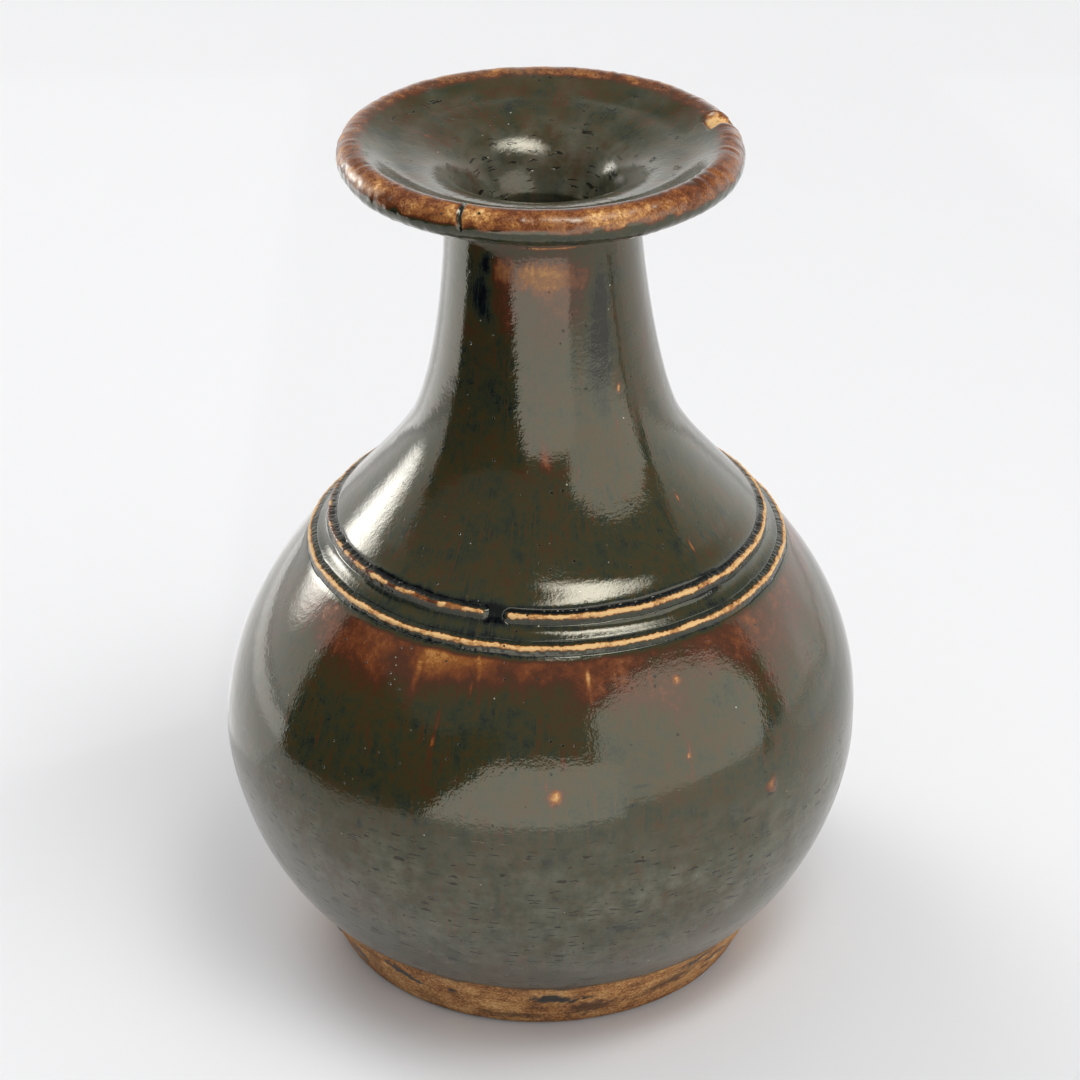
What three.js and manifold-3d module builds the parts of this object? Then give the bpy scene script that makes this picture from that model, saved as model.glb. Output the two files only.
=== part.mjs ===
// Earthenware bottle vase: a squat round body on a bare turned foot, two clay rings on the shoulder,
// a flaring neck and a dished mouth with a rolled lip. Millimetres, +Z up, with the origin at the middle
// of the foot's underside. Every section is turned about the Z axis, and the sections stand on each
// other on flat rings of clay, as a potter joins thrown sections with slip.

import * as THREE from "three";
import { mergeVertices } from "three/addons/utils/BufferGeometryUtils.js";
import Module from "manifold-3d";

const wasm = await Module();
wasm.setup();

// Roundness of the turned sections, and the samples taken along a curved outline
const SEGMENTS = 60;
const CURVE_SAMPLES = 160;

// Rows of facets in each run of a section
const ROWS = {
  floorCorner: 4,
  lowerBody: { outside: 7, inside: 5 },
  upperBody: { outside: 7, inside: 6 },
  shoulder: { outside: 5, inside: 4 },
  neck: { outside: 6, inside: 4 },
  collar: 2,
  flange: 6,
  beadFoot: 3,
  dish: 8,
  lip: 10,
};

// Slip line left at a curved seat
const SLIP_GAP = 0.3;

// Foot, turned and left bare
const FOOT_HEIGHT = 22.3;
const FOOT_BASE_RADIUS = 65.7;
const FOOT_TOP_RADIUS = 77.8;
const FOOT_RING_HEIGHT = 6;
const FOOT_RING_WIDTH = 11;
const FOOT_EDGE_BEVEL = 1.2;
const GLAZE_STEP = 0.8;

// Floor of the pot and the round corner inside it
const FLOOR_THICKNESS = 9;
const FLOOR_CORNER_RADIUS = 9;

// Body: the belly above the foot, and an even wall
const BELLY_RADIUS = 100;
const BELLY_RISE = 54.5;
const BODY_WALL = 6.5;

// Neck: its root above the belly, its waist above the root, and the thick wall at the throat
const NECK_ROOT_RADIUS = 42.5;
const NECK_ROOT_RISE = 102.6;
const NECK_WAIST_RADIUS = 29.5;
const NECK_WAIST_RISE = 68.6;
const THROAT_WALL = 12.2;

// Mouth: the rim above the neck waist, the rolled lip, and the dish and flange inside and under it
const MOUTH_RISE = 25.8;
const LIP_RADIUS = 55;
const LIP_BEAD_RADIUS = 5.3;
const COLLAR_HEIGHT = 12;
const FLANGE_THICKNESS = 6.4;
const DISH_EDGE_RISE = 1.4;

// Shoulder rings: two clay fillets set in one shallow turned band, the upper one left open near the front
const LOWER_RING_RISE = 65.2;
const RING_SPACING = 7.2;
const RING_WIDTH = 5.2;
const RING_RELIEF = 0.9;
const RING_BAND_DEPTH = 1.2;
const RING_BAND_MARGIN = 0.8;
const RING_CROWN_SHARE = 0.75;
const RING_CROWN_DROP = 0.4;
const UPPER_RING_GAP_DEGREES = 6.3;
const UPPER_RING_GAP_BEARING_DEGREES = 12.2;

// Run of each curve: degrees from upright at its ends, and pulls as shares of the straight distance
const FOOT_FLARE_DEGREES = 43.3;
const FOOT_FLARE_PULL = 0.4;
const BELLY_LOWER_PULL = 0.19;
const BELLY_UPPER_PULL = 0.44;
const NECK_ROOT_LEAN_DEGREES = -30;
const NECK_ROOT_LOWER_PULL = 0.27;
const NECK_ROOT_UPPER_PULL = 0.26;
const NECK_WAIST_PULL = 0.13;
const FLANGE_END_DEGREES = 66;
const FLANGE_PULL = 0.47;
const DISH_EDGE_DEGREES = -94;
const DISH_EDGE_PULL = 0.62;
const THROAT_DEGREES = -155;
const THROAT_PULL = 0.35;
const FLOOR_CORNER_PULL = 0.5;
const STRAIGHT_DOWN = 180;
const STRAIGHT_IN = -90;

// Places on the lip bead, in degrees up from its outermost point
const LIP_UNDERSIDE_DEGREES = -90;
const LIP_SEAT_DEGREES = -35;
const LIP_INNER_DEGREES = 150;

// Heights that follow from the sizes above
const floorTopHeight = FOOT_RING_HEIGHT + FLOOR_THICKNESS;
const bellyHeight = FOOT_HEIGHT + BELLY_RISE;
const neckRootHeight = bellyHeight + NECK_ROOT_RISE;
const neckWaistHeight = neckRootHeight + NECK_WAIST_RISE;
const collarHeight = neckWaistHeight - COLLAR_HEIGHT;
const lipCentreHeight = neckWaistHeight + MOUTH_RISE - LIP_BEAD_RADIUS;
const lowerRingHeight = bellyHeight + LOWER_RING_RISE;
const upperRingHeight = lowerRingHeight + RING_SPACING;
const ringSeamHeight = (lowerRingHeight + upperRingHeight) / 2;

// Clays and glazes
const FINISHES = {
  glaze: { color: 0x2b2d1f, roughness: 0.12, metalness: 0 },
  worn_glaze: { color: 0x8a6a43, roughness: 0.35, metalness: 0 },
  bare_clay: { color: 0xc7b08c, roughness: 0.85, metalness: 0 },
};

// A point of a section: radius from the axis, then height.
function at(radius, height) {
  return new THREE.Vector2(radius, height);
}

// A step of a given length, leaning outwards from upright by an angle in degrees.
function lean(degrees, length) {
  const angle = THREE.MathUtils.degToRad(degrees);
  return at(Math.sin(angle) * length, Math.cos(angle) * length);
}

// Points of a cubic curve between two points, with the way it runs and the pull at each of them.
function sweep(start, startDegrees, startPull, end, endDegrees, endPull, count = CURVE_SAMPLES) {
  const distance = start.distanceTo(end);
  const curve = new THREE.CubicBezierCurve(
    start,
    start.clone().add(lean(startDegrees, startPull * distance)),
    end.clone().sub(lean(endDegrees, endPull * distance)),
    end,
  );
  return curve.getPoints(count);
}

// Points of an arc about a centre, from one angle to another in degrees, where 0 points outwards.
function arc(centre, radius, fromDegrees, toDegrees, count) {
  return Array.from({ length: count + 1 }, (_, i) => {
    const angle = THREE.MathUtils.degToRad(fromDegrees + ((toDegrees - fromDegrees) * i) / count);
    return at(centre.x + radius * Math.cos(angle), centre.y + radius * Math.sin(angle));
  });
}

// The outline moved inwards across itself, by a depth that may change with height.
function inset(outline, depthAt) {
  return outline.map((point, i) => {
    const before = outline[Math.max(i - 1, 0)];
    const after = outline[Math.min(i + 1, outline.length - 1)];
    const run = after.clone().sub(before).normalize();
    const depth = depthAt(point.y);
    return at(point.x - run.y * depth, point.y + run.x * depth);
  });
}

// Radius of a rising outline at a height.
function radiusAt(outline, height) {
  const next = outline.findIndex((point) => point.y >= height);
  if (next < 0) return outline.at(-1).x;
  if (next === 0) return outline[0].x;
  const low = outline[next - 1];
  const high = outline[next];
  return THREE.MathUtils.mapLinear(height, low.y, high.y, low.x, high.x);
}

// Evenly spaced heights along an outline, from one height to another, either way up.
function follow(outline, fromHeight, toHeight, rows) {
  return Array.from({ length: rows + 1 }, (_, i) => {
    const height = i === rows ? toHeight : fromHeight + ((toHeight - fromHeight) * i) / rows;
    return at(radiusAt(outline, height), height);
  });
}

// Outline of the body and neck: glaze edge above the foot, belly, root of the neck and its waist
const footCorner = at(FOOT_TOP_RADIUS, FOOT_HEIGHT);
const belly = at(BELLY_RADIUS, bellyHeight);
const neckRoot = at(NECK_ROOT_RADIUS, neckRootHeight);
const neckWaist = at(NECK_WAIST_RADIUS, neckWaistHeight);
const outline = [
  ...sweep(footCorner, FOOT_FLARE_DEGREES, FOOT_FLARE_PULL, belly, 0, BELLY_LOWER_PULL).slice(0, -1),
  ...sweep(belly, 0, BELLY_UPPER_PULL, neckRoot, NECK_ROOT_LEAN_DEGREES, NECK_ROOT_LOWER_PULL).slice(0, -1),
  ...sweep(neckRoot, NECK_ROOT_LEAN_DEGREES, NECK_ROOT_UPPER_PULL, neckWaist, 0, NECK_WAIST_PULL),
];

// The bare foot's sloping side, which ends a step inside the glaze edge
function footSide(height) {
  const share = height / FOOT_HEIGHT;
  return at(THREE.MathUtils.lerp(FOOT_BASE_RADIUS, FOOT_TOP_RADIUS - GLAZE_STEP, share), height);
}

// Inner outline: an even wall up to the root of the neck, then a wall that thickens to the throat
const bore = inset([footSide(0), footSide(FOOT_HEIGHT), ...outline], (height) => {
  const alongNeck = THREE.MathUtils.inverseLerp(neckRootHeight, neckWaistHeight, height);
  return THREE.MathUtils.lerp(BODY_WALL, THROAT_WALL, THREE.MathUtils.clamp(alongNeck, 0, 1));
});
const throat = at(NECK_WAIST_RADIUS - THROAT_WALL, neckWaistHeight);

// Shallow band turned into the shoulder for the two rings
const ringLean = (height) => {
  const rise = RING_WIDTH / 4;
  return Math.atan2(radiusAt(outline, height - rise) - radiusAt(outline, height + rise), 2 * rise);
};
const ringHalfRise = (height) => (RING_WIDTH / 2) * Math.cos(ringLean(height));
const bandBottom = lowerRingHeight - ringHalfRise(lowerRingHeight) - RING_BAND_MARGIN;
const bandTop = upperRingHeight + ringHalfRise(upperRingHeight) + RING_BAND_MARGIN;
const bandFloor = inset(outline, () => RING_BAND_DEPTH);
const ringSeat = inset(outline, () => RING_BAND_DEPTH - SLIP_GAP);

// Turns a closed run of points about the axis. The run goes up outside and down inside.
function turned(points, closed = true) {
  const run = closed ? [...points, points[0].clone()] : points;
  return new THREE.LatheGeometry(run, SEGMENTS).rotateX(Math.PI / 2);
}

// A turned piece of wall: the run given outside, and the bore inside with its own number of rows.
function wall(outside, insideRows) {
  return turned([...outside, ...follow(bore, outside.at(-1).y, outside[0].y, insideRows)]);
}

// Foot ring: the flat ring that the vase stands on, hollow underneath.
function footRing() {
  const innerRadius = FOOT_BASE_RADIUS - FOOT_RING_WIDTH;
  return turned([
    at(innerRadius + FOOT_EDGE_BEVEL, 0),
    at(FOOT_BASE_RADIUS - FOOT_EDGE_BEVEL, 0),
    footSide(FOOT_EDGE_BEVEL),
    footSide(FOOT_RING_HEIGHT),
    at(innerRadius, FOOT_RING_HEIGHT),
    at(innerRadius, FOOT_EDGE_BEVEL),
  ]);
}

// Base: the floor of the pot, with a round corner inside where the wall starts.
function base() {
  const wallFoot = at(radiusAt(bore, FOOT_HEIGHT), FOOT_HEIGHT);
  const floorEdge = at(wallFoot.x - FLOOR_CORNER_RADIUS, floorTopHeight);
  const pull = FLOOR_CORNER_PULL;
  const run = [
    at(0, FOOT_RING_HEIGHT),
    footSide(FOOT_RING_HEIGHT),
    footSide(FOOT_HEIGHT),
    ...sweep(wallFoot, STRAIGHT_DOWN, pull, floorEdge, STRAIGHT_IN, pull, ROWS.floorCorner),
    at(0, floorTopHeight),
  ];
  return turned(run, false);
}

// Lower body: the thrown bowl from the glaze edge to the seam at the belly.
function lowerBody() {
  const rows = ROWS.lowerBody;
  return wall(follow(outline, FOOT_HEIGHT, bellyHeight, rows.outside), rows.inside);
}

// Upper body: from the belly to the seam between the shoulder rings, with the band's lower half.
function upperBody() {
  const rows = ROWS.upperBody;
  const side = follow(outline, bellyHeight, bandBottom, rows.outside);
  return wall([...side, ...follow(bandFloor, bandBottom, ringSeamHeight, 1)], rows.inside);
}

// Shoulder: from the seam between the rings to the root of the neck, with the band's upper half.
function shoulder() {
  const rows = ROWS.shoulder;
  const side = follow(outline, bandTop, neckRootHeight, rows.outside);
  return wall([...follow(bandFloor, ringSeamHeight, bandTop, 1), ...side], rows.inside);
}

// Neck: a separately thrown tube that narrows towards its waist.
function neck() {
  const rows = ROWS.neck;
  return wall(follow(outline, neckRootHeight, collarHeight, rows.outside), rows.inside);
}

// Where the lip bead meets its seat and the edge of the dish
const lipCentre = at(LIP_RADIUS, lipCentreHeight);
const [lipSeatEdge] = arc(lipCentre, LIP_BEAD_RADIUS, LIP_SEAT_DEGREES, 0, 1);
const [lipInnerEdge] = arc(lipCentre, LIP_BEAD_RADIUS, LIP_INNER_DEGREES, 0, 1);

// Mouth dish: the collar at the neck's waist and the flange that opens from it, hollowed as a dish.
function mouthDish() {
  const dishEdge = at(lipInnerEdge.x, lipCentreHeight + DISH_EDGE_RISE);
  const flangeEdge = at(dishEdge.x, dishEdge.y - FLANGE_THICKNESS);
  return turned([
    ...follow(outline, collarHeight, neckWaistHeight, ROWS.collar).slice(0, -1),
    ...sweep(neckWaist, 0, FLANGE_PULL, flangeEdge, FLANGE_END_DEGREES, FLANGE_PULL, ROWS.flange),
    ...arc(lipCentre, LIP_BEAD_RADIUS, LIP_UNDERSIDE_DEGREES, LIP_SEAT_DEGREES, ROWS.beadFoot),
    at(dishEdge.x, lipSeatEdge.y),
    ...sweep(dishEdge, DISH_EDGE_DEGREES, DISH_EDGE_PULL, throat, THROAT_DEGREES, THROAT_PULL, ROWS.dish),
    at(radiusAt(bore, collarHeight), collarHeight),
  ]);
}

// Lip roll: a round bead of clay on the rim of the dish, a slip line away from the dish's edge.
function lipRoll() {
  const innerFace = lipInnerEdge.x + SLIP_GAP;
  const innerCosine = (innerFace - LIP_RADIUS) / LIP_BEAD_RADIUS;
  const innerDegrees = THREE.MathUtils.radToDeg(Math.acos(innerCosine));
  return turned([
    ...arc(lipCentre, LIP_BEAD_RADIUS, LIP_SEAT_DEGREES, innerDegrees, ROWS.lip),
    at(innerFace, lipSeatEdge.y),
  ]);
}

// Shoulder ring: a fillet with a rounded crown, laid along the band's slope a slip line off its floor.
function shoulderRing(height) {
  const slope = ringLean(height);
  const across = at(Math.cos(slope), Math.sin(slope));
  const along = at(-across.y, across.x);
  const seat = at(radiusAt(ringSeat, height), height);
  const crownHeight = RING_BAND_DEPTH - SLIP_GAP + RING_RELIEF;
  const place = (share, rise) =>
    seat
      .clone()
      .addScaledVector(along, (share * RING_WIDTH) / 2)
      .addScaledVector(across, rise);
  const crown = [-1, -0.5, 0, 0.5, 1].map((share) =>
    place(share * RING_CROWN_SHARE, crownHeight * (1 - RING_CROWN_DROP * share ** 2)),
  );
  return turned([place(-1, 0), ...crown, place(1, 0)]);
}

// Solid of a closed geometry, for a cut.
function solidOf(geometry) {
  const bare = geometry.clone();
  bare.deleteAttribute("normal");
  bare.deleteAttribute("uv");
  const merged = mergeVertices(bare);
  return new wasm.Manifold(
    new wasm.Mesh({
      numProp: 3,
      vertProperties: merged.attributes.position.array,
      triVerts: new Uint32Array(merged.index.array),
    }),
  );
}

// Geometry of a solid, after a cut.
function geometryOf(solid) {
  const mesh = solid.getMesh();
  const geometry = new THREE.BufferGeometry();
  geometry.setAttribute("position", new THREE.BufferAttribute(mesh.vertProperties, mesh.numProp));
  geometry.setIndex(new THREE.BufferAttribute(mesh.triVerts, 1));
  geometry.computeVertexNormals();
  return geometry;
}

// Upper shoulder ring: its two ends stop short of each other near the front.
function openShoulderRing(height) {
  const ring = shoulderRing(height);
  const reach = radiusAt(outline, height);
  const gapWidth = 2 * reach * Math.tan(THREE.MathUtils.degToRad(UPPER_RING_GAP_DEGREES / 2));
  const block = new THREE.BoxGeometry(gapWidth, reach, 4 * RING_WIDTH);
  block.translate(0, -reach, height);
  block.rotateZ(THREE.MathUtils.degToRad(-UPPER_RING_GAP_BEARING_DEGREES));
  return geometryOf(solidOf(ring).subtract(solidOf(block)));
}

// One named mesh with its own finish.
function piece(name, geometry, finish) {
  const mesh = new THREE.Mesh(geometry, new THREE.MeshStandardMaterial(FINISHES[finish]));
  mesh.name = name;
  return mesh;
}

const vase = new THREE.Group();
vase.name = "vase";
vase.add(
  piece("foot_ring", footRing(), "bare_clay"),
  piece("base", base(), "bare_clay"),
  piece("lower_body", lowerBody(), "glaze"),
  piece("upper_body", upperBody(), "glaze"),
  piece("lower_shoulder_ring", shoulderRing(lowerRingHeight), "worn_glaze"),
  piece("upper_shoulder_ring", openShoulderRing(upperRingHeight), "worn_glaze"),
  piece("shoulder", shoulder(), "glaze"),
  piece("neck", neck(), "glaze"),
  piece("mouth_dish", mouthDish(), "glaze"),
  piece("lip_roll", lipRoll(), "worn_glaze"),
);

export default vase;
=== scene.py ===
"""Earthenware bottle vase: its looks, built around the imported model.

The vase is thrown in sections, and each section here is turned finely about the same axis and
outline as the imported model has. Relief that a hand leaves is then pressed into the surface, and
the glaze gets a film thickness at every point, which drives its colour.

Sizes are in millimetres and become metres where a mesh is written. Heights are above the table.
Bearings are degrees round the axis, from the front (-Y) towards the viewer's right (+X).
"""

import logging
import math
from collections.abc import Callable
from dataclasses import dataclass
from enum import Enum

import bmesh
import bpy
import numpy as np
from mathutils import Matrix, Vector


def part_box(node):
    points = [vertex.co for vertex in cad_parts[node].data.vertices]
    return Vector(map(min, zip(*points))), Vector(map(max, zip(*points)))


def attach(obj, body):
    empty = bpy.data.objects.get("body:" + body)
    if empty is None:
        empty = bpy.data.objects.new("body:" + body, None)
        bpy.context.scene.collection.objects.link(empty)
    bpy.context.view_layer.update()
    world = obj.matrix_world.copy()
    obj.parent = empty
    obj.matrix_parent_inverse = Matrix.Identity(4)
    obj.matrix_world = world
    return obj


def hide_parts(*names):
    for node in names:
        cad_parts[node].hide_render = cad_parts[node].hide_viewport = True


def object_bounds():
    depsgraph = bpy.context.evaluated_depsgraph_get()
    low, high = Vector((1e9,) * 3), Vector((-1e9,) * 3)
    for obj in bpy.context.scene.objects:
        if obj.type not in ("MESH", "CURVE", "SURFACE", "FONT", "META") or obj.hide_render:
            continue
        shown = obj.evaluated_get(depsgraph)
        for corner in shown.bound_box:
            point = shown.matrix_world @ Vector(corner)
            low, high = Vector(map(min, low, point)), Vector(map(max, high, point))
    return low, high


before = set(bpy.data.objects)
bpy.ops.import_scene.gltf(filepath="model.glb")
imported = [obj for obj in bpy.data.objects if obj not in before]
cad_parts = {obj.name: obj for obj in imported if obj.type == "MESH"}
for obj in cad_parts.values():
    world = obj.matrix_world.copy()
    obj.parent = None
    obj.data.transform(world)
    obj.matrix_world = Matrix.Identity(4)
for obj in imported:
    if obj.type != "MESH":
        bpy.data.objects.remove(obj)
CAD_BOX = [list(corner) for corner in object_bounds()]

LOG = logging.getLogger("vase")
MM = 0.001
QUARTER_TURN = 90.0
HALF_TURN = 180.0
FULL_TURN = 360.0
BODY = "root"

# Factors that flatten a place onto the table, a full range, and where a card fades in metres
LEVEL = (1, 1, 0)
UNIT = (0.0, 1.0)
FADE_HEIGHTS = (0.4, 1.2)

# Facets round the axis, and the row next to a seam, thin enough to hide it
SEGMENTS = 840
RING_SEGMENTS = 1680
SEAM_ROW = 0.06

Point = tuple[float, float]
Span = tuple[float, float]
Socket = bpy.types.NodeSocket
Feed = object


class Slot(Enum):
    """Material slots of the record."""

    DARK_GLAZE = "dark_glaze"
    BROKEN_GLAZE = "broken_glaze"
    BARE_CLAY = "bare_clay"


class Layer(Enum):
    """Values kept at each point of a mesh, for its material."""

    SHOWN = "shown"
    OUT_RADIUS = "out_radius"
    OUT_HEIGHT = "out_height"
    FILM = "film"
    # Dull wear, whose lighter colour low on the belly is also a painted reflection of the floor
    HAZE = "haze"
    # Brown stains of the foot, and painted shade along its bottom edge
    STAIN = "stain"
    SPLASH = "splash"


def colour(code: str) -> tuple[float, float, float, float]:
    """Turns an sRGB hex colour into linear values.

    Args:
        code: Six hex digits, with or without a leading mark.

    Returns:
        Red, green, blue and an alpha of one, linear.
    """
    digits = code.lstrip("#")
    parts = [int(digits[i : i + 2], 16) / 255 for i in (0, 2, 4)]
    linear = [p / 12.92 if p <= 0.04045 else ((p + 0.055) / 1.055) ** 2.4 for p in parts]
    return (linear[0], linear[1], linear[2], 1.0)


class Nodes:
    """Adds nodes to one tree. Most methods return the socket that holds the result."""

    NOISE_ROUGHNESS = 0.62

    def __init__(self, tree: bpy.types.NodeTree) -> None:
        """Takes the tree that the nodes join."""
        self.tree = tree

    @classmethod
    def emptied(cls, owner: bpy.types.ID) -> "Nodes":
        """Empties the tree of a material, a lamp or a world."""
        owner.use_nodes = True
        owner.node_tree.nodes.clear()
        return cls(owner.node_tree)

    def put(self, kind: str, inputs: dict[int | str, Feed] | None = None,
            **settings: Feed) -> bpy.types.Node:
        """Adds a node with its settings, values and links.

        Args:
            kind: Type name of the node.
            inputs: For each input, by name or place, a value or the socket that feeds it.
            settings: Properties of the node itself.

        Returns:
            The new node.
        """
        node = self.tree.nodes.new(kind)
        for name, value in settings.items():
            setattr(node, name, value)
        for key, feed in (inputs or {}).items():
            if isinstance(feed, bpy.types.NodeSocket):
                self.tree.links.new(feed, node.inputs[key])
            else:
                node.inputs[key].default_value = feed
        return node

    def math(self, operation: str, *feeds: Feed, clamp: bool = False) -> Socket:
        """Calculates with values, taken in order."""
        inputs = dict(enumerate(feeds))
        return self.put("ShaderNodeMath", inputs, operation=operation, use_clamp=clamp).outputs[0]

    def vector(self, operation: str, *feeds: Feed) -> Socket:
        """Calculates with vectors, taken in order."""
        return self.put("ShaderNodeVectorMath", dict(enumerate(feeds)), operation=operation).outputs[0]

    def scaled(self, vector: Socket, factor: Feed) -> Socket:
        """Multiplies a vector by one value."""
        inputs = {0: vector, "Scale": factor}
        return self.put("ShaderNodeVectorMath", inputs, operation="SCALE").outputs[0]

    def graded(self, value: Socket, given: Span, wanted: Span, **settings: Feed) -> Socket:
        """Turns a given range of values into a wanted one, and stops at both ends."""
        inputs = dict(enumerate((value, *given, *wanted)))
        return self.put("ShaderNodeMapRange", inputs, **settings).outputs[0]

    def place(self) -> Socket:
        """Coordinates on the object in metres."""
        return self.put("ShaderNodeTexCoord").outputs["Object"]

    def layer(self, layer: Layer) -> Socket:
        """Values of a layer of the mesh."""
        return self.put("ShaderNodeAttribute", attribute_name=layer.value).outputs["Fac"]

    def noise(self, place: Socket, size: float, detail: float) -> Socket:
        """Soft random values round 0.5.

        Args:
            place: Coordinates in metres.
            size: Size of the clouds in mm.
            detail: Number of finer layers.

        Returns:
            The value socket.
        """
        inputs = {"Vector": place, "Scale": 1 / (size * MM), "Detail": detail,
                  "Roughness": self.NOISE_ROUGHNESS}
        return self.put("ShaderNodeTexNoise", inputs).outputs[0]

    def varied(self, value: Feed, noise: Socket, share: float) -> Socket:
        """Adds a share of soft random values to a value, counted from their middle."""
        return self.math("MULTIPLY_ADD", self.math("SUBTRACT", noise, 0.5), share, value)

    def ramp(self, value: Socket, stops: tuple[tuple[float, str], ...]) -> Socket:
        """Turns a value from 0 to 1 into a colour.

        Args:
            value: Value to turn.
            stops: Values and their sRGB colours, rising.

        Returns:
            The colour socket.
        """
        node = self.put("ShaderNodeValToRGB", {"Fac": value})
        line = node.color_ramp.elements
        while len(line) < len(stops):
            line.new(1.0)
        for element, (place, code) in zip(line, stops):
            element.position = place
            element.color = colour(code)
        return node.outputs[0]

    def covered(self, share: Socket, tint: Socket, code: str) -> Socket:
        """Lays a colour over another, as far as a share says."""
        return self.put("ShaderNodeMix", {0: share, 6: tint, 7: colour(code)}, data_type="RGBA").outputs[2]

    def bump(self, height: Socket, depth: float, normal: Socket | None = None, **settings: Feed) -> Socket:
        """Relief of a depth in mm, laid over the relief so far."""
        inputs = {"Height": height, "Distance": depth * MM}
        if normal is not None:
            inputs["Normal"] = normal
        return self.put("ShaderNodeBump", inputs, **settings).outputs[0]

    def finish(self, shader: bpy.types.Node, kind: str = "ShaderNodeOutputMaterial") -> None:
        """Ends the tree with a shader."""
        self.put(kind, {0: shader.outputs[0]})


def new_material(name: str) -> tuple[bpy.types.Material, Nodes]:
    """Adds an empty material.

    Args:
        name: Name of the material.

    Returns:
        The material and the nodes of its tree.
    """
    made = bpy.data.materials.new(name)
    return made, Nodes.emptied(made)


def smooth(low: float, high: float, values: np.ndarray) -> np.ndarray:
    """Rises smoothly from 0 at low to 1 at high.

    Args:
        low: Value where the rise starts.
        high: Value where it ends.
        values: Values to grade.

    Returns:
        Shares from 0 to 1.
    """
    share = np.clip((values - low) / (high - low), 0, 1)
    return share * share * (3 - 2 * share)


def bell(values: np.ndarray, width: float) -> np.ndarray:
    """A bell curve of height 1 about zero.

    Args:
        values: Distances from its middle.
        width: Distance at which it has fallen to about a third.

    Returns:
        Heights from 0 to 1.
    """
    return np.exp(-((values / width) ** 2))


def turned_from(bearing: np.ndarray, middle: float) -> np.ndarray:
    """Degrees from a middle bearing, the short way round.

    Args:
        bearing: Bearings to measure.
        middle: Bearing to measure from.

    Returns:
        Degrees from -180 to 180.
    """
    return (bearing - middle + HALF_TURN) % FULL_TURN - HALF_TURN


def outwards(line: np.ndarray) -> np.ndarray:
    """Unit directions square to a line, out of the clay where it rises.

    Args:
        line: Points of the line, as radius and height.

    Returns:
        A direction at each point.
    """
    steps = np.gradient(line, axis=0)
    across = np.stack([steps[:, 1], -steps[:, 0]], axis=1)
    return across / np.hypot(*across.T)[:, None]


def even_steps(points: np.ndarray, step: float, seam_rows: bool = True) -> np.ndarray:
    """Walks along a line of points in even steps.

    Args:
        points: Points of the line, as radius and height.
        step: Length of a step, as near as an even share allows.
        seam_rows: Whether a thin row is added at both ends.

    Returns:
        The evenly spaced points.
    """
    lengths = np.hypot(*np.diff(points, axis=0).T)
    travel = np.concatenate([[0], np.cumsum(lengths)])
    count = max(2, round(travel[-1] / step))
    stops = np.linspace(0, travel[-1], count + 1)
    if seam_rows:
        stops = np.sort(np.concatenate([stops, [SEAM_ROW, travel[-1] - SEAM_ROW]]))
    return np.stack([np.interp(stops, travel, points[:, i]) for i in (0, 1)], axis=1)


@dataclass(frozen=True)
class Bend:
    """A smooth run of an outline: degrees from upright and pulls at its two ends."""

    start: Point
    start_degrees: float
    start_pull: float
    end: Point
    end_degrees: float
    end_pull: float

    def points(self, count: int = 240) -> np.ndarray:
        """Points along the cubic curve, as radius and height."""
        start, end = np.array(self.start), np.array(self.end)
        distance = np.hypot(*(end - start))
        leave = start + self._step(self.start_degrees, self.start_pull * distance)
        arrive = end - self._step(self.end_degrees, self.end_pull * distance)
        t = np.linspace(0, 1, count + 1)[:, None]
        return ((1 - t) ** 3 * start + 3 * t * (1 - t) ** 2 * leave
                + 3 * t**2 * (1 - t) * arrive + t**3 * end)

    @staticmethod
    def _step(degrees: float, length: float) -> np.ndarray:
        """A step that leans outwards from upright."""
        return np.array([math.sin(math.radians(degrees)), math.cos(math.radians(degrees))]) * length


@dataclass(frozen=True)
class Run:
    """The outline of a section: stretches of points that go up outside and down inside.

    The relief of a hand is pressed into the stretches that are shown.
    """

    stretches: tuple[tuple[np.ndarray, bool], ...]
    closed: bool = True

    def points(self) -> np.ndarray:
        """All points in order, as radius and height."""
        return np.vstack([line for line, _ in self.stretches])

    def shown(self) -> np.ndarray:
        """1 at each point that is shown, 0 at the others."""
        return np.concatenate([np.full(len(line), float(seen)) for line, seen in self.stretches])

    def outwards(self) -> np.ndarray:
        """Unit directions out of the clay at each point, as radius and height."""
        return np.vstack([outwards(line) for line, _ in self.stretches])


@dataclass(frozen=True)
class Waviness:
    """Smooth random values over bearing and height, which meet after a full turn."""

    seed: int
    cell_degrees: float
    cell_height: float

    def at(self, bearing: np.ndarray, height: np.ndarray) -> np.ndarray:
        """Values from -1 to 1.

        Args:
            bearing: Degrees round the axis.
            height: Heights in mm.

        Returns:
            One value for each point.
        """
        columns = max(3, round(FULL_TURN / self.cell_degrees))
        rows = math.ceil(CAD_BOX[1][2] / MM / self.cell_height) + 3
        cells = np.random.default_rng(self.seed).uniform(-1, 1, (rows, columns))
        along = (bearing % FULL_TURN) / FULL_TURN * columns
        up = np.clip(height / self.cell_height + 1, 0, rows - 1.001)
        column, row = np.floor(along).astype(int), np.floor(up).astype(int)
        right, rise = smooth(0, 1, along - column), smooth(0, 1, up - row)
        column, beside = column % columns, (column + 1) % columns
        low = cells[row, column] * (1 - right) + cells[row, beside] * right
        high = cells[row + 1, column] * (1 - right) + cells[row + 1, beside] * right
        return low * (1 - rise) + high * rise


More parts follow.
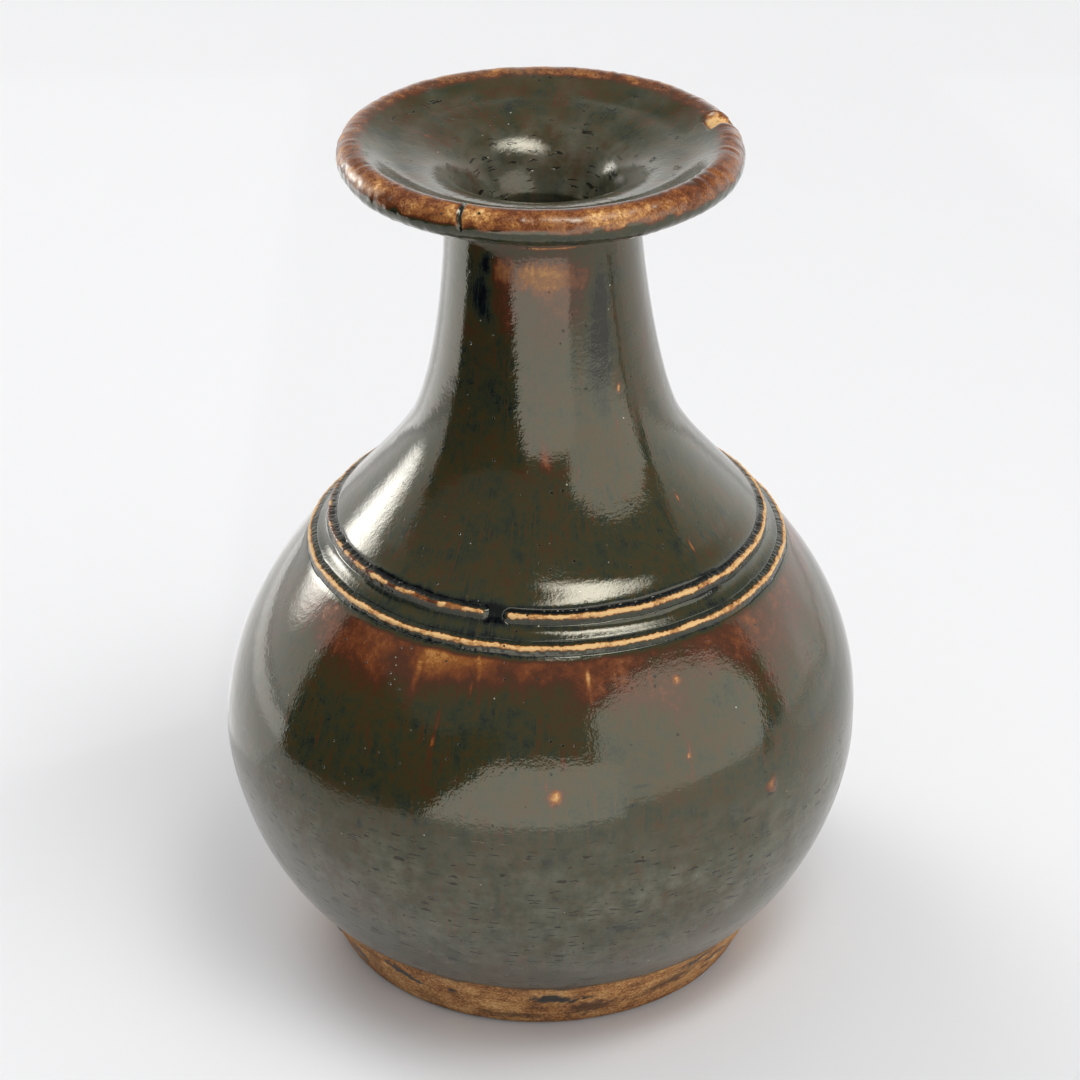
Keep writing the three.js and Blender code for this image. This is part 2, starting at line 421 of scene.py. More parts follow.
class Surface:
    """The points of a turned mesh, to press marks into and to paint."""

    def __init__(self, piece: bpy.types.Object) -> None:
        """Reads the points and their layers.

        Args:
            piece: Object whose mesh was turned on the wheel.
        """
        self.mesh = piece.data
        self.places = np.zeros((len(self.mesh.vertices), 3), np.float32)
        self.mesh.vertices.foreach_get("co", self.places.ravel())
        x, y, z = self.places.T.astype(float) / MM
        self.radius = np.hypot(x, y)
        self.bearing = np.degrees(np.arctan2(x, -y))
        self.height = z
        self.shown = self.read(Layer.SHOWN)
        self.faces_out = self.read(Layer.OUT_RADIUS) > 0

    def read(self, layer: Layer) -> np.ndarray:
        """Values of a layer at every point."""
        values = np.zeros(len(self.mesh.vertices), np.float32)
        self.mesh.attributes[layer.value].data.foreach_get("value", values)
        return values

    def paint(self, layer: Layer, values: np.ndarray) -> None:
        """Writes a layer, one value for each point."""
        name = layer.value
        found = self.mesh.attributes.get(name) or self.mesh.attributes.new(name, "FLOAT", "POINT")
        found.data.foreach_set("value", np.asarray(values, np.float32))

    def press(self, relief: np.ndarray, drift: np.ndarray) -> None:
        """Moves the shown points out of the clay, and every point sideways.

        Args:
            relief: Outward moves in mm.
            drift: Moves along X in mm.
        """
        angle = np.radians(self.bearing)
        out = relief * self.shown
        wide, high = self.read(Layer.OUT_RADIUS) * out, self.read(Layer.OUT_HEIGHT) * out
        x, y, z = self.places.T.astype(float)
        moved = [x + (wide * np.sin(angle) + drift) * MM, y - wide * np.cos(angle) * MM, z + high * MM]
        self.mesh.vertices.foreach_set("co", np.stack(moved, axis=1).astype(np.float32).ravel())
        self.mesh.update()


Painter = Callable[[Surface], np.ndarray]


@dataclass(frozen=True)
class Patch:
    """A blob on the surface, with a soft and ragged edge."""

    bearing: float
    height: float
    half_width: float
    half_height: float
    turn: float = 0.0
    softness: float = 0.3
    ragged: float = 0.0

    def cover(self, spots: Surface) -> np.ndarray:
        """Share of the patch at each point, from 0 to 1."""
        across = np.radians(turned_from(spots.bearing, self.bearing)) * spots.radius
        up = spots.height - self.height
        angle = math.radians(self.turn)
        along = (across * math.cos(angle) + up * math.sin(angle)) / self.half_width
        beside = (up * math.cos(angle) - across * math.sin(angle)) / self.half_height
        far = np.hypot(along, beside)
        if self.ragged:
            far = far + self.ragged * EDGE_RAGGEDNESS.at(spots.bearing, spots.height)
        return 1 - smooth(1 - self.softness, 1 + self.softness, far)


EDGE_RAGGEDNESS = Waviness(seed=11, cell_degrees=1.1, cell_height=1.0)


def top_of(node: str) -> float:
    """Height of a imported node's top in mm."""
    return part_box(node)[1].z / MM


def reach_of(node: str) -> float:
    """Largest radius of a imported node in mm, read along X, where its facets have a corner."""
    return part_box(node)[1].x / MM


@dataclass(frozen=True)
class VaseForm:
    """Outline of the whole vase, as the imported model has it."""

    foot_base_radius: float = 65.7
    foot_top_radius: float = 77.8
    foot_ring_width: float = 11.0
    foot_edge_bevel: float = 1.2
    glaze_step: float = 0.8
    floor_thickness: float = 9.0
    floor_corner_radius: float = 9.0
    body_wall: float = 6.5
    throat_wall: float = 12.2
    waist_radius: float = 29.5
    collar_height: float = 12.0
    lip_radius: float = 55.0
    bead_radius: float = 5.3
    flange_thickness: float = 6.4
    dish_edge_rise: float = 1.4
    bead_inner_degrees: float = 150.0
    bead_seat_degrees: float = -35.0
    bead_blend_degrees: float = 112.0
    bead_blend_pull: float = 0.4
    dish_blend_radius: float = 42.0
    foot_flare: Point = (43.3, 0.40)
    belly_pulls: Point = (0.19, 0.44)
    neck_root_degrees: float = -30.0
    neck_root_pulls: Point = (0.27, 0.26)
    waist_pull: float = 0.13
    flange_end: Point = (66.0, 0.47)
    dish_edge: Point = (-94.0, 0.62)
    throat_end: Point = (-155.0, 0.35)
    lean_pull: float = 0.075
    lean_end: Point = (-1.78, 0.80)

    @property
    def ring_height(self) -> float:
        """Height of the foot ring."""
        return top_of("foot_ring")

    @property
    def foot_height(self) -> float:
        """Height of the glaze edge above the foot."""
        return top_of("base")

    @property
    def belly_height(self) -> float:
        """Height of the widest place."""
        return top_of("lower_body")

    @property
    def seam_height(self) -> float:
        """Height of the seam between the shoulder rings."""
        return top_of("upper_body")

    @property
    def root_height(self) -> float:
        """Height of the neck's root."""
        return top_of("shoulder")

    @property
    def collar_base_height(self) -> float:
        """Height where the mouth's collar starts."""
        return top_of("neck")

    @property
    def waist_height(self) -> float:
        """Height of the neck's narrowest place."""
        return self.collar_base_height + self.collar_height

    @property
    def lip_height(self) -> float:
        """Height of the lip bead's centre."""
        return top_of("lip_roll") - self.bead_radius

    def outline(self) -> np.ndarray:
        """Outer outline from the glaze edge to the neck's waist, rising."""
        corner = (self.foot_top_radius, self.foot_height)
        belly = (reach_of("lower_body"), self.belly_height)
        root = (reach_of("neck"), self.root_height)
        waist = (self.waist_radius, self.waist_height)
        runs = [
            Bend(corner, *self.foot_flare, belly, 0, self.belly_pulls[0]),
            Bend(belly, 0, self.belly_pulls[1], root, self.neck_root_degrees, self.neck_root_pulls[0]),
            Bend(root, self.neck_root_degrees, self.neck_root_pulls[1], waist, 0, self.waist_pull),
        ]
        return np.vstack([runs[0].points()[:-1], runs[1].points()[:-1], runs[2].points()])

    def foot_side(self, height: float) -> Point:
        """Point of the bare foot's sloping side."""
        share = height / self.foot_height
        top = self.foot_top_radius - self.glaze_step
        return (self.foot_base_radius + (top - self.foot_base_radius) * share, height)

    def bore(self) -> np.ndarray:
        """Inner outline: an even wall that thickens towards the throat."""
        outer = np.vstack([[self.foot_side(0)], self.outline()])
        rise = (outer[:, 1] - self.root_height) / (self.waist_height - self.root_height)
        wall = self.body_wall + (self.throat_wall - self.body_wall) * np.clip(rise, 0, 1)
        return outer - outwards(outer) * wall[:, None]

    def between(self, line: np.ndarray, low: float, high: float) -> np.ndarray:
        """Part of a rising line between two heights, with points at both."""
        inner = line[(line[:, 1] > low) & (line[:, 1] < high)]
        ends = [[np.interp(h, line[:, 1], line[:, 0]), h] for h in (low, high)]
        return np.vstack([ends[0], inner, ends[1]])

    def lean_at(self, height: np.ndarray | float) -> np.ndarray:
        """How far the outline leans inwards from upright, in radians."""
        line = self.outline()
        half = 1.0
        low, high = (np.interp(height + d, line[:, 1], line[:, 0]) for d in (-half, half))
        return np.arctan2(low - high, 2 * half)

    def drift(self, height: np.ndarray) -> np.ndarray:
        """Sideways lean of the hand-thrown axis above the belly, in mm along X."""
        line = Bend((0, self.belly_height), 0, self.lean_pull, (0, top_of("lip_roll")),
                    *self.lean_end).points()
        return np.interp(height, line[:, 1], line[:, 0])


class ThrowingWheel:
    """Turns runs about the axis with one Geometry Nodes tree, and leaves throwing marks."""

    PATH_RADIUS = 1.0
    WELD = 0.00001

    def __init__(self, marks: float = 0.06, pitch: float = 3.2, length: float = 70.0,
                 seed: float = 3.0) -> None:
        """Builds the tree.

        Args:
            marks: Depth of the throwing marks in mm.
            pitch: Height from one mark to the next in mm.
            length: Length along which a mark fades and returns in mm.
            seed: Seed of the marks.
        """
        self.marks = marks
        self.pitch = pitch
        self.length = length
        self.seed = seed
        self.tree = self._tree()

    def _tree(self) -> bpy.types.NodeTree:
        """Builds the tree that turns a run given as a wire mesh."""
        tree = bpy.data.node_groups.new("turned_section", "GeometryNodeTree")
        sockets = (("Geometry", "Geometry"), ("Segments", "Int"), ("Mark Depth", "Float"),
                   ("Mark Pitch", "Float"), ("Mark Length", "Float"), ("Seed", "Float"),
                   ("Finish", "Material"))
        for name, kind in sockets:
            tree.interface.new_socket(name, in_out="INPUT", socket_type=f"NodeSocket{kind}")
        tree.interface.new_socket("Geometry", in_out="OUTPUT", socket_type="NodeSocketGeometry")
        nodes = Nodes(tree)
        given = nodes.put("NodeGroupInput").outputs
        run = nodes.put("GeometryNodeMeshToCurve", {"Mesh": given["Geometry"]})
        path = nodes.put("GeometryNodeCurvePrimitiveCircle",
                         {"Resolution": given["Segments"], "Radius": self.PATH_RADIUS * MM})
        turned = nodes.put("GeometryNodeCurveToMesh",
                           {"Curve": path.outputs["Curve"], "Profile Curve": run.outputs["Curve"]})
        welded = nodes.put("GeometryNodeMergeByDistance",
                           {"Geometry": turned.outputs["Mesh"], "Distance": self.WELD * MM})
        place = nodes.put("GeometryNodeInputPosition").outputs[0]
        cell = nodes.put("ShaderNodeCombineXYZ", {0: given["Mark Length"], 1: given["Mark Length"],
                                                  2: given["Mark Pitch"]})
        noise = nodes.put("ShaderNodeTexNoise", {"Vector": nodes.vector("DIVIDE", place, cell.outputs[0]),
                                                 "W": given["Seed"], "Scale": 1.0, "Detail": 1.0},
                          noise_dimensions="4D")
        centred = nodes.math("SUBTRACT", noise.outputs[0], 0.5)
        shown = nodes.put("GeometryNodeInputNamedAttribute", {"Name": Layer.SHOWN.value},
                          data_type="FLOAT")
        masked = nodes.math("MULTIPLY", centred, shown.outputs[0])
        depth = nodes.math("MULTIPLY", masked, given["Mark Depth"])
        out = nodes.vector("NORMALIZE", nodes.vector("MULTIPLY", place, LEVEL))
        marked = nodes.put("GeometryNodeSetPosition",
                           {"Geometry": welded.outputs[0], "Offset": nodes.scaled(out, depth)})
        real = nodes.put("GeometryNodeRealizeInstances", {"Geometry": marked.outputs[0]})
        dressed = nodes.put("GeometryNodeSetMaterial",
                            {"Geometry": real.outputs[0], "Material": given["Finish"]})
        nodes.finish(dressed, "NodeGroupOutput")
        return tree

    def turn(self, name: str, run: Run, finish: bpy.types.Material,
             segments: int = SEGMENTS) -> bpy.types.Object:
        """Turns a run into a finished mesh object.

        Args:
            name: Name of the piece.
            run: Outline of the section.
            finish: Material of the piece.
            segments: Facets round the axis.

        Returns:
            The object, with a plain mesh and no modifier.
        """
        points = run.points()
        count = len(points)
        wire = bpy.data.meshes.new(name)
        # The node turns a profile's Y into -Z
        flat = [((radius - self.PATH_RADIUS) * MM, -height * MM, 0) for radius, height in points]
        edges = [(i, (i + 1) % count) for i in range(count if run.closed else count - 1)]
        wire.from_pydata(flat, edges, [])
        across = run.outwards()
        layers = {Layer.SHOWN: run.shown(), Layer.OUT_RADIUS: across[:, 0],
                  Layer.OUT_HEIGHT: across[:, 1]}
        for layer, values in layers.items():
            wire.attributes.new(layer.value, "FLOAT", "POINT").data.foreach_set("value", values)
        piece = bpy.data.objects.new(name, wire)
        bpy.context.scene.collection.objects.link(piece)
        grow(piece, self.tree, {"Segments": segments, "Mark Depth": self.marks * MM,
                                "Mark Pitch": self.pitch * MM, "Mark Length": self.length * MM,
                                "Seed": self.seed, "Finish": finish})
        close_up(piece.data)
        return piece


def grow(piece: bpy.types.Object, tree: bpy.types.NodeTree, inputs: dict[str, Feed]) -> None:
    """Runs a Geometry Nodes tree on an object and keeps the result as a plain mesh.

    Args:
        piece: Object to change.
        tree: Geometry Nodes tree.
        inputs: Values for the tree's named inputs.
    """
    modifier = piece.modifiers.new(tree.name, "NODES")
    modifier.node_group = tree
    for item in tree.interface.items_tree:
        if item.in_out == "INPUT" and item.name in inputs:
            modifier[item.identifier] = inputs[item.name]
    bpy.context.view_layer.update()
    graph = bpy.context.evaluated_depsgraph_get()
    mesh = bpy.data.meshes.new_from_object(piece.evaluated_get(graph), preserve_all_data_layers=True,
                                           depsgraph=graph)
    piece.modifiers.remove(modifier)
    old = piece.data
    piece.data = mesh
    bpy.data.meshes.remove(old)
    mesh.name = piece.name


SHARP_DEGREES = 38.0


def close_up(mesh: bpy.types.Mesh) -> None:
    """Turns a closed mesh the right way out, and shades it smooth between its real edges.

    Args:
        mesh: Mesh to finish.
    """
    count = len(mesh.vertices)
    places = np.zeros(count * 3, np.float32)
    mesh.vertices.foreach_get("co", places)
    places = places.reshape(-1, 3).astype(float)
    mesh.calc_loop_triangles()
    corners = np.zeros(len(mesh.loop_triangles) * 3, np.int32)
    mesh.loop_triangles.foreach_get("vertices", corners)
    a, b, c = (places[corners.reshape(-1, 3)[:, i]] for i in range(3))
    if np.einsum("ij,ij->i", a, np.cross(b, c)).sum() < 0:
        mesh.flip_normals()
    mesh.polygons.foreach_set("use_smooth", np.ones(len(mesh.polygons), bool))
    mesh.set_sharp_from_angle(angle=math.radians(SHARP_DEGREES))


# Glaze and clay


@dataclass(frozen=True)
class Speckle:
    """Round marks in some cells of a grid. The cell and the largest mark are in mm."""

    cell: float
    reach: float
    rarity: float
    flatness: float = 1.0

    EDGE = 0.25

    def share(self, nodes: Nodes, place: Socket) -> Socket:
        """Share of a mark at each point, from 0 to 1."""
        flat = nodes.vector("MULTIPLY", place, (1, 1, self.flatness))
        cells = nodes.put("ShaderNodeTexVoronoi", {"Vector": flat, "Scale": 1 / (self.cell * MM)})
        pick = nodes.put("ShaderNodeSeparateColor", {0: cells.outputs["Color"]})
        reach = self.reach / self.cell
        size = nodes.graded(pick.outputs[0], (self.rarity, 1.0), (0.0, reach))
        inside = nodes.math("SUBTRACT", size, cells.outputs["Distance"])
        return nodes.graded(inside, (0.0, self.EDGE * reach), UNIT)


@dataclass(frozen=True)
class IronGlaze:
    """Dark iron glaze, dipped and fired glossy over buff clay.

    The film's thickness gives the colour: black where it pooled, olive-brown at its usual depth,
    rust and amber where it ran thin, and the buff clay itself on a crest. Some film values are painted
    shade on the lip bead and a painted dark reflection on the neck.
    """

    name: str
    gloss_roughness: float = 0.08
    haze_roughness: float = 0.20
    thin_roughness: float = 0.30
    streak_share: float = 0.42
    cloud_share: float = 0.8
    mottle_share: float = 1.1
    fleck_share: float = 0.8
    grain_share: float = 0.5
    thin_share: float = 0.45

    STOPS = ((0.00, "#D2A970"), (0.05, "#B58144"), (0.13, "#885222"), (0.22, "#68381D"),
             (0.33, "#4B2A1C"), (0.43, "#3F2B1A"), (0.52, "#3B301B"), (0.60, "#35321F"),
             (0.68, "#2D3122"), (0.78, "#242922"), (0.90, "#14191B"), (1.00, "#0A0D10"))
    DEEPEST = 1.6
    # Lighter grey of the haze: dull wear, and low on the belly a painted reflection of the pale floor
    WORN, PIT, SCAR, DUST = "#5E5D50", "#12110C", "#15140E", "#A3A291"
    SHINE_TINT = "#FFF9E4"
    IOR = 1.58
    PITS = Speckle(3.4, 0.55, 0.45)
    SPECKS = Speckle(4.2, 0.30, 0.50)
    SPECKS_SHIFT = (0.013, 0.007, 0.011)
    SCARS = (Speckle(8.0, 2.6, 0.50, flatness=3.6), Speckle(6.0, 2.4, 0.45, flatness=9.0))
    SCAR_WARP, SCAR_DETAIL = 2.2, 4.0
    SCAR_SHIFT = (0.0032, 0.0032, 0.0016)
    # Size in mm and detail of each pattern
    CLOUDS, MOTTLE, FLECKS, GRAIN = (30.0, 3.0), (9.0, 4.0), (2.6, 3.0), (0.6, 2.0)
    STREAKS, BANDS, DUSTY = (1.2, 4.0), (2.8, 4.0), (6.0, 6.0)
    # How far streaks are drawn out, round the axis and up, and bands, along the table
    STREAK_ROUND, STREAK_UP = 0.08, (0, 0, 0.10)
    BAND_STRETCH = (0.12, 0.12, 1)
    # Ranges of the patterns and the shares that they become
    STREAK_RANGE, MOTTLE_RANGE = (0.50, 0.62), (0.44, 0.58)
    BAND_RANGE, BAND_SHARE = (0.36, 0.62), (0.70, 1.05)
    DUSTY_RANGE, DUSTY_SHARE = (0.36, 0.64), (0.15, 0.85)
    # Ranges of the film that count as thin, deep and whole, and of the haze that has scars
    THIN_FILM, DEEP_FILM, WHOLE_FILM = (0.05, 0.5), (0.5, 0.9), (0.35, 0.90)
    SCARRED_HAZE = (0.15, 0.5)
    # Size and depth of the slow ripples and the orange peel, and depth of a sunken mark
    RELIEF = ((9.0, 0.085), (3.2, 0.030), (1.3, 0.034), (0.6, 0.020))
    MARK_DEPTH = 0.12
    RELIEF_DETAIL = 1.0

    def material(self) -> bpy.types.Material:
        """Builds the material."""
        made, nodes = new_material(self.name)
        place, haze = nodes.place(), nodes.layer(Layer.HAZE)
        film = self._film(nodes, place)
        worn = self._worn(nodes, place, haze)
        pits, scars = self.PITS.share(nodes, place), self._scars(nodes, place, haze)
        specks = self.SPECKS.share(nodes, nodes.vector("ADD", place, self.SPECKS_SHIFT))
        tint = nodes.ramp(nodes.math("MULTIPLY", film, 1 / self.DEEPEST), self.STOPS)
        for share, code in ((worn, self.WORN), (pits, self.PIT), (scars, self.SCAR), (specks, self.DUST)):
            tint = nodes.covered(share, tint, code)

        # Glassy where the glaze is whole, duller on haze and where it ran thin
        thin = nodes.graded(film, self.THIN_FILM, (self.thin_roughness, 0.0))
        gloss = nodes.math("MULTIPLY_ADD", worn, self.haze_roughness, self.gloss_roughness)
        nodes.finish(nodes.put("ShaderNodeBsdfPrincipled", {
            "Base Color": tint, "Roughness": nodes.math("ADD", gloss, thin), "IOR": self.IOR,
            "Specular Tint": colour(self.SHINE_TINT), "Normal": self._relief(nodes, place, pits, scars)}))
        return made

    def _film(self, nodes: Nodes, place: Socket) -> Socket:
        """Film thickness with streaks that ran down the wall, clouds and grain."""
        film = nodes.layer(Layer.FILM)
        # Brown streaks, drawn out down the wall, where the film is deep
        out = nodes.vector("NORMALIZE", nodes.vector("MULTIPLY", place, LEVEL))
        drawn = nodes.vector("ADD", nodes.scaled(out, self.STREAK_ROUND),
                             nodes.vector("MULTIPLY", place, self.STREAK_UP))
        streaks = nodes.graded(nodes.noise(drawn, *self.STREAKS), self.STREAK_RANGE, UNIT)
        mottle = nodes.noise(place, *self.MOTTLE)
        brown = nodes.math("MULTIPLY", streaks, nodes.graded(mottle, self.MOTTLE_RANGE, UNIT))
        deep = nodes.graded(film, self.DEEP_FILM, (0.0, -self.streak_share))
        change = nodes.math("MULTIPLY", brown, deep)
        change = nodes.varied(change, nodes.noise(place, *self.CLOUDS), self.cloud_share)
        change = nodes.varied(change, mottle, self.mottle_share)
        change = nodes.varied(change, nodes.noise(place, *self.FLECKS), self.fleck_share)
        change = nodes.varied(change, nodes.noise(place, *self.GRAIN), self.grain_share)
        whole = nodes.graded(film, self.WHOLE_FILM, (self.thin_share, 1.0))
        return nodes.math("MULTIPLY_ADD", change, whole, film)

    def _worn(self, nodes: Nodes, place: Socket, haze: Socket) -> Socket:
        """Dull wear in level bands and dusty clouds; low on the belly its lighter colour is also a painted
        reflection of the floor.
        """
        level = nodes.vector("MULTIPLY", place, self.BAND_STRETCH)
        bands = nodes.graded(nodes.noise(level, *self.BANDS), self.BAND_RANGE, self.BAND_SHARE)
        dusty = nodes.graded(nodes.noise(place, *self.DUSTY), self.DUSTY_RANGE, self.DUSTY_SHARE)
        return nodes.math("MULTIPLY", nodes.math("MULTIPLY", dusty, bands), haze, clamp=True)

    def _scars(self, nodes: Nodes, place: Socket, haze: Socket) -> Socket:
        """Short level scars with ragged edges, where the haze layer holds wear."""
        warp = nodes.put("ShaderNodeTexNoise", {"Vector": place, "Scale": 1 / (self.SCAR_WARP * MM),
                                                "Detail": self.SCAR_DETAIL})
        moved = nodes.vector("MULTIPLY_ADD", warp.outputs["Color"], self.SCAR_SHIFT, place)
        marks = nodes.math("MAXIMUM", *[speckle.share(nodes, moved) for speckle in self.SCARS])
        return nodes.math("MULTIPLY", marks, nodes.graded(haze, self.SCARRED_HAZE, UNIT))

    def _relief(self, nodes: Nodes, place: Socket, *marks: Socket) -> Socket:
        """Relief too fine for the mesh: slow ripples, orange peel and sunken marks."""
        normal = None
        for size, depth in self.RELIEF:
            normal = nodes.bump(nodes.noise(place, size, self.RELIEF_DETAIL), depth, normal)
        for mark in marks:
            normal = nodes.bump(mark, self.MARK_DEPTH, normal, invert=True)
        return normal


@dataclass(frozen=True)
class TurnedClay:
    """Buff clay, turned on the wheel and fired bare.

    It is matt and sandy, with fine lines left by the turning tool, brown stains, painted shade
    along its bottom edge and dark splashes of glaze that ran over the edge.
    """

    name: str = "buff_clay_turned_bare"
    roughness: float = 0.78
    splash_roughness: float = 0.32
    line_depth: float = 0.15
    sand_depth: float = 0.18

    STOPS = ((0.16, "#452812"), (0.34, "#74471F"), (0.48, "#966534"), (0.62, "#B4844C"),
             (0.84, "#CDA671"))
    # Brown of the stains and of the painted shade along the bottom edge, and the dark glaze splashes
    BROWN, SPLASH = "#3E2410", "#231F17"
    # Size in mm and detail of each pattern, and how far it changes the tone
    CLOUDS, LINES, SAND, GRIT = (8.0, 5.0), (1.3, 4.0), (0.9, 3.0), (0.35, 1.0)
    CLOUD_SHARE, TONE = 0.9, 0.05
    LINE_SHARE, SAND_SHARE, GRIT_SHARE = 0.45, 1.0, 0.6
    LINE_STRETCH = (0.08, 0.08, 1)
    IOR = 1.45

    def material(self) -> bpy.types.Material:
        """Builds the material."""
        made, nodes = new_material(self.name)
        place, splash = nodes.place(), nodes.layer(Layer.SPLASH)
        level = nodes.vector("MULTIPLY", place, self.LINE_STRETCH)
        lines, sand = nodes.noise(level, *self.LINES), nodes.noise(place, *self.SAND)
        tone = nodes.math("MULTIPLY_ADD", nodes.noise(place, *self.CLOUDS), self.CLOUD_SHARE, self.TONE)
        tone = nodes.varied(tone, lines, self.LINE_SHARE)
        tone = nodes.varied(tone, sand, self.SAND_SHARE)
        tone = nodes.varied(tone, nodes.noise(place, *self.GRIT), self.GRIT_SHARE)
        stained = nodes.covered(nodes.layer(Layer.STAIN), nodes.ramp(tone, self.STOPS), self.BROWN)
        rough = nodes.graded(splash, UNIT, (self.roughness, self.splash_roughness))
        normal = nodes.bump(sand, self.sand_depth, nodes.bump(lines, self.line_depth))
        nodes.finish(nodes.put("ShaderNodeBsdfPrincipled", {
            "Base Color": nodes.covered(splash, stained, self.SPLASH), "Roughness": rough,
            "IOR": self.IOR, "Normal": normal}))
        return made


@dataclass(frozen=True)
class ShoulderRings:
    """The two clay fillets on the shoulder, and the relief of the surface beside them."""

    form: VaseForm
    lower_rise: float = 65.2
    spacing: float = 7.2
    half_width: float = 2.45
    crest_height: float = 1.15
    crest_width: float = 1.25
    seat_depth: float = 1.25
    underside_depth: float = 0.95
    edge_depth: float = 0.35
    edge_room: float = 0.35
    wander: float = 0.28
    knot_height: float = 0.10
    hollow_depth: float = 0.85
    hollow_skew: float = 1.3
    valley_depth: float = 0.30
    undercut_depth: float = 0.14
    cove_depth: float = 0.85
    cove_rise: Span = (2.5, 11.0)
    cove_fall: Span = (12.0, 42.0)
    gap_bearing: float = -13.1
    gap_half_degrees: float = 3.7
    gap_fade: Span = (0.4, 2.6)
    bare_width: float = 0.52
    bare_fade: float = 0.7
    gap_pool: float = 0.45
    gap_pool_width: float = 3.0
    width_change: float = 0.20
    knot_change: float = 0.24
    row: float = 0.25

    # How steeply a crown falls, and how many of its rows the underside skips
    CROWN_POWER, UNDER_STEP = 1.5, 4
    # Shares of a fillet's half width where its flank ends, its edge dips and its seat ends
    FLANK_END, EDGE_DIP, SEAT_END = (0.55, 0.94), (0.90, 1.0), (0.72, 0.90)
    # Middle above the crest and width of the valley and the undercut
    VALLEY, UNDERCUT = (1.9, 0.8), (-2.4, 1.1)
    # Cosines of the bearing between which the cove grows towards the front
    COVE_FRONT = (-0.2, 0.8)
    # Bearings to the left between which the upper crest is broken by glaze
    BROKEN_FROM, BROKEN_TO, BREAKS, BREAK_SHARE = (14, 34), (95, 120), (-0.2, 0.4), 0.4
    # Depth of each glaze pool, its middle above the crest and its width
    LOWER_POOLS = ((0.42, -2.3, 1.3), (0.30, 2.4, 1.6))
    UPPER_POOLS = ((0.60, 2.0, 1.3), (0.35, -2.2, 1.6))
    # Film taken off a crest at its usual depth
    BARE_FILM = 1.02

    @property
    def lower_height(self) -> float:
        """Height of the lower crest."""
        return self.form.belly_height + self.lower_rise

    @property
    def upper_height(self) -> float:
        """Height of the upper crest."""
        return self.lower_height + self.spacing

    def slope(self) -> float:
        """Share of a step along the surface that is height, at the rings."""
        return math.cos(float(self.form.lean_at(self.form.seam_height)))

    def above(self, crest: float, spots: Surface) -> np.ndarray:
        """Distance up the slope from a crest, which wanders a little as a hand lays it."""
        wander = CREST_WANDER.at(spots.bearing, np.full_like(spots.height, crest))
        return (spots.height - crest) / self.slope() + self.wander * wander

    def past_end(self, spots: Surface) -> np.ndarray:
        """Distance into the gap from the end of the upper ring in mm, and 0 along the ring."""
        away = np.abs(turned_from(spots.bearing, self.gap_bearing))
        return np.radians(np.clip(self.gap_half_degrees - away, 0, None)) * spots.radius

    def gate(self, spots: Surface) -> np.ndarray:
        """1 along the upper ring and 0 in its gap near the front."""
        return 1 - smooth(*self.gap_fade, self.past_end(spots))

    def cut_half_degrees(self) -> float:
        """Half of the gap that is cut, with both ends of the ring under the wall's surface."""
        radius = np.interp(self.upper_height, *self.form.outline().T[::-1])
        return self.gap_half_degrees - math.degrees((self.half_width + self.edge_room) / radius)

    def run(self, crest: float) -> Run:
        """Run of a fillet: its crown on the outline and its underside in the seat."""
        reach = (self.half_width + self.edge_room) * self.slope()
        line = self.form.between(self.form.outline(), crest - reach, crest + reach)
        crown = even_steps(line, self.row, seam_rows=False)
        under = (crown - outwards(crown) * self.underside_depth)[::-self.UNDER_STEP]
        return Run(((crown, True), (under, False)))

    def fillet(self, crest: float, spots: Surface, is_open: bool) -> np.ndarray:
        """Relief of a fillet over the outline, with its edges under the wall's surface.

        Args:
            crest: Height of its crest.
            spots: Points of the fillet.
            is_open: Whether it ends at the gap.

        Returns:
            Outward moves in mm.
        """
        distance = np.hypot(self.above(crest, spots), self.past_end(spots) if is_open else 0.0)
        crown = self.crest_height / (1 + (distance / self.crest_width) ** 2) ** self.CROWN_POWER
        across = distance / self.half_width
        crown = crown * (1 - smooth(*self.FLANK_END, across))
        under = smooth(*self.EDGE_DIP, across)
        knots = self.knot_height * CREST_KNOTS.at(spots.bearing, spots.height)
        return self.hollow(spots) + crown - self.edge_depth * under + knots

    def seats(self, spots: Surface) -> np.ndarray:
        """Relief of the grooves under both fillets."""
        lower = self.above(self.lower_height, spots)
        upper = np.hypot(self.above(self.upper_height, spots), self.past_end(spots))
        inside = [1 - smooth(*self.SEAT_END, np.abs(distance) / self.half_width)
                  for distance in (lower, upper)]
        return -self.seat_depth * (inside[0] + inside[1])

    def hollow(self, spots: Surface) -> np.ndarray:
        """Relief of the surface round the rings, without the fillets."""
        low, high = self.above(self.lower_height, spots), self.above(self.upper_height, spots)
        middle = np.clip(low / (self.spacing / self.slope()), 0, 1)
        between = -self.hollow_depth * np.sin(math.pi * middle**self.hollow_skew) ** 2
        valley = -self.valley_depth * bell(high - self.VALLEY[0], self.VALLEY[1]) * self.gate(spots)
        front = smooth(*self.COVE_FRONT, np.cos(np.radians(spots.bearing)))
        cove = smooth(*self.cove_rise, high) * (1 - smooth(*self.cove_fall, high))
        undercut = -self.undercut_depth * bell(low - self.UNDERCUT[0], self.UNDERCUT[1])
        return between + valley - self.cove_depth * front * cove + undercut

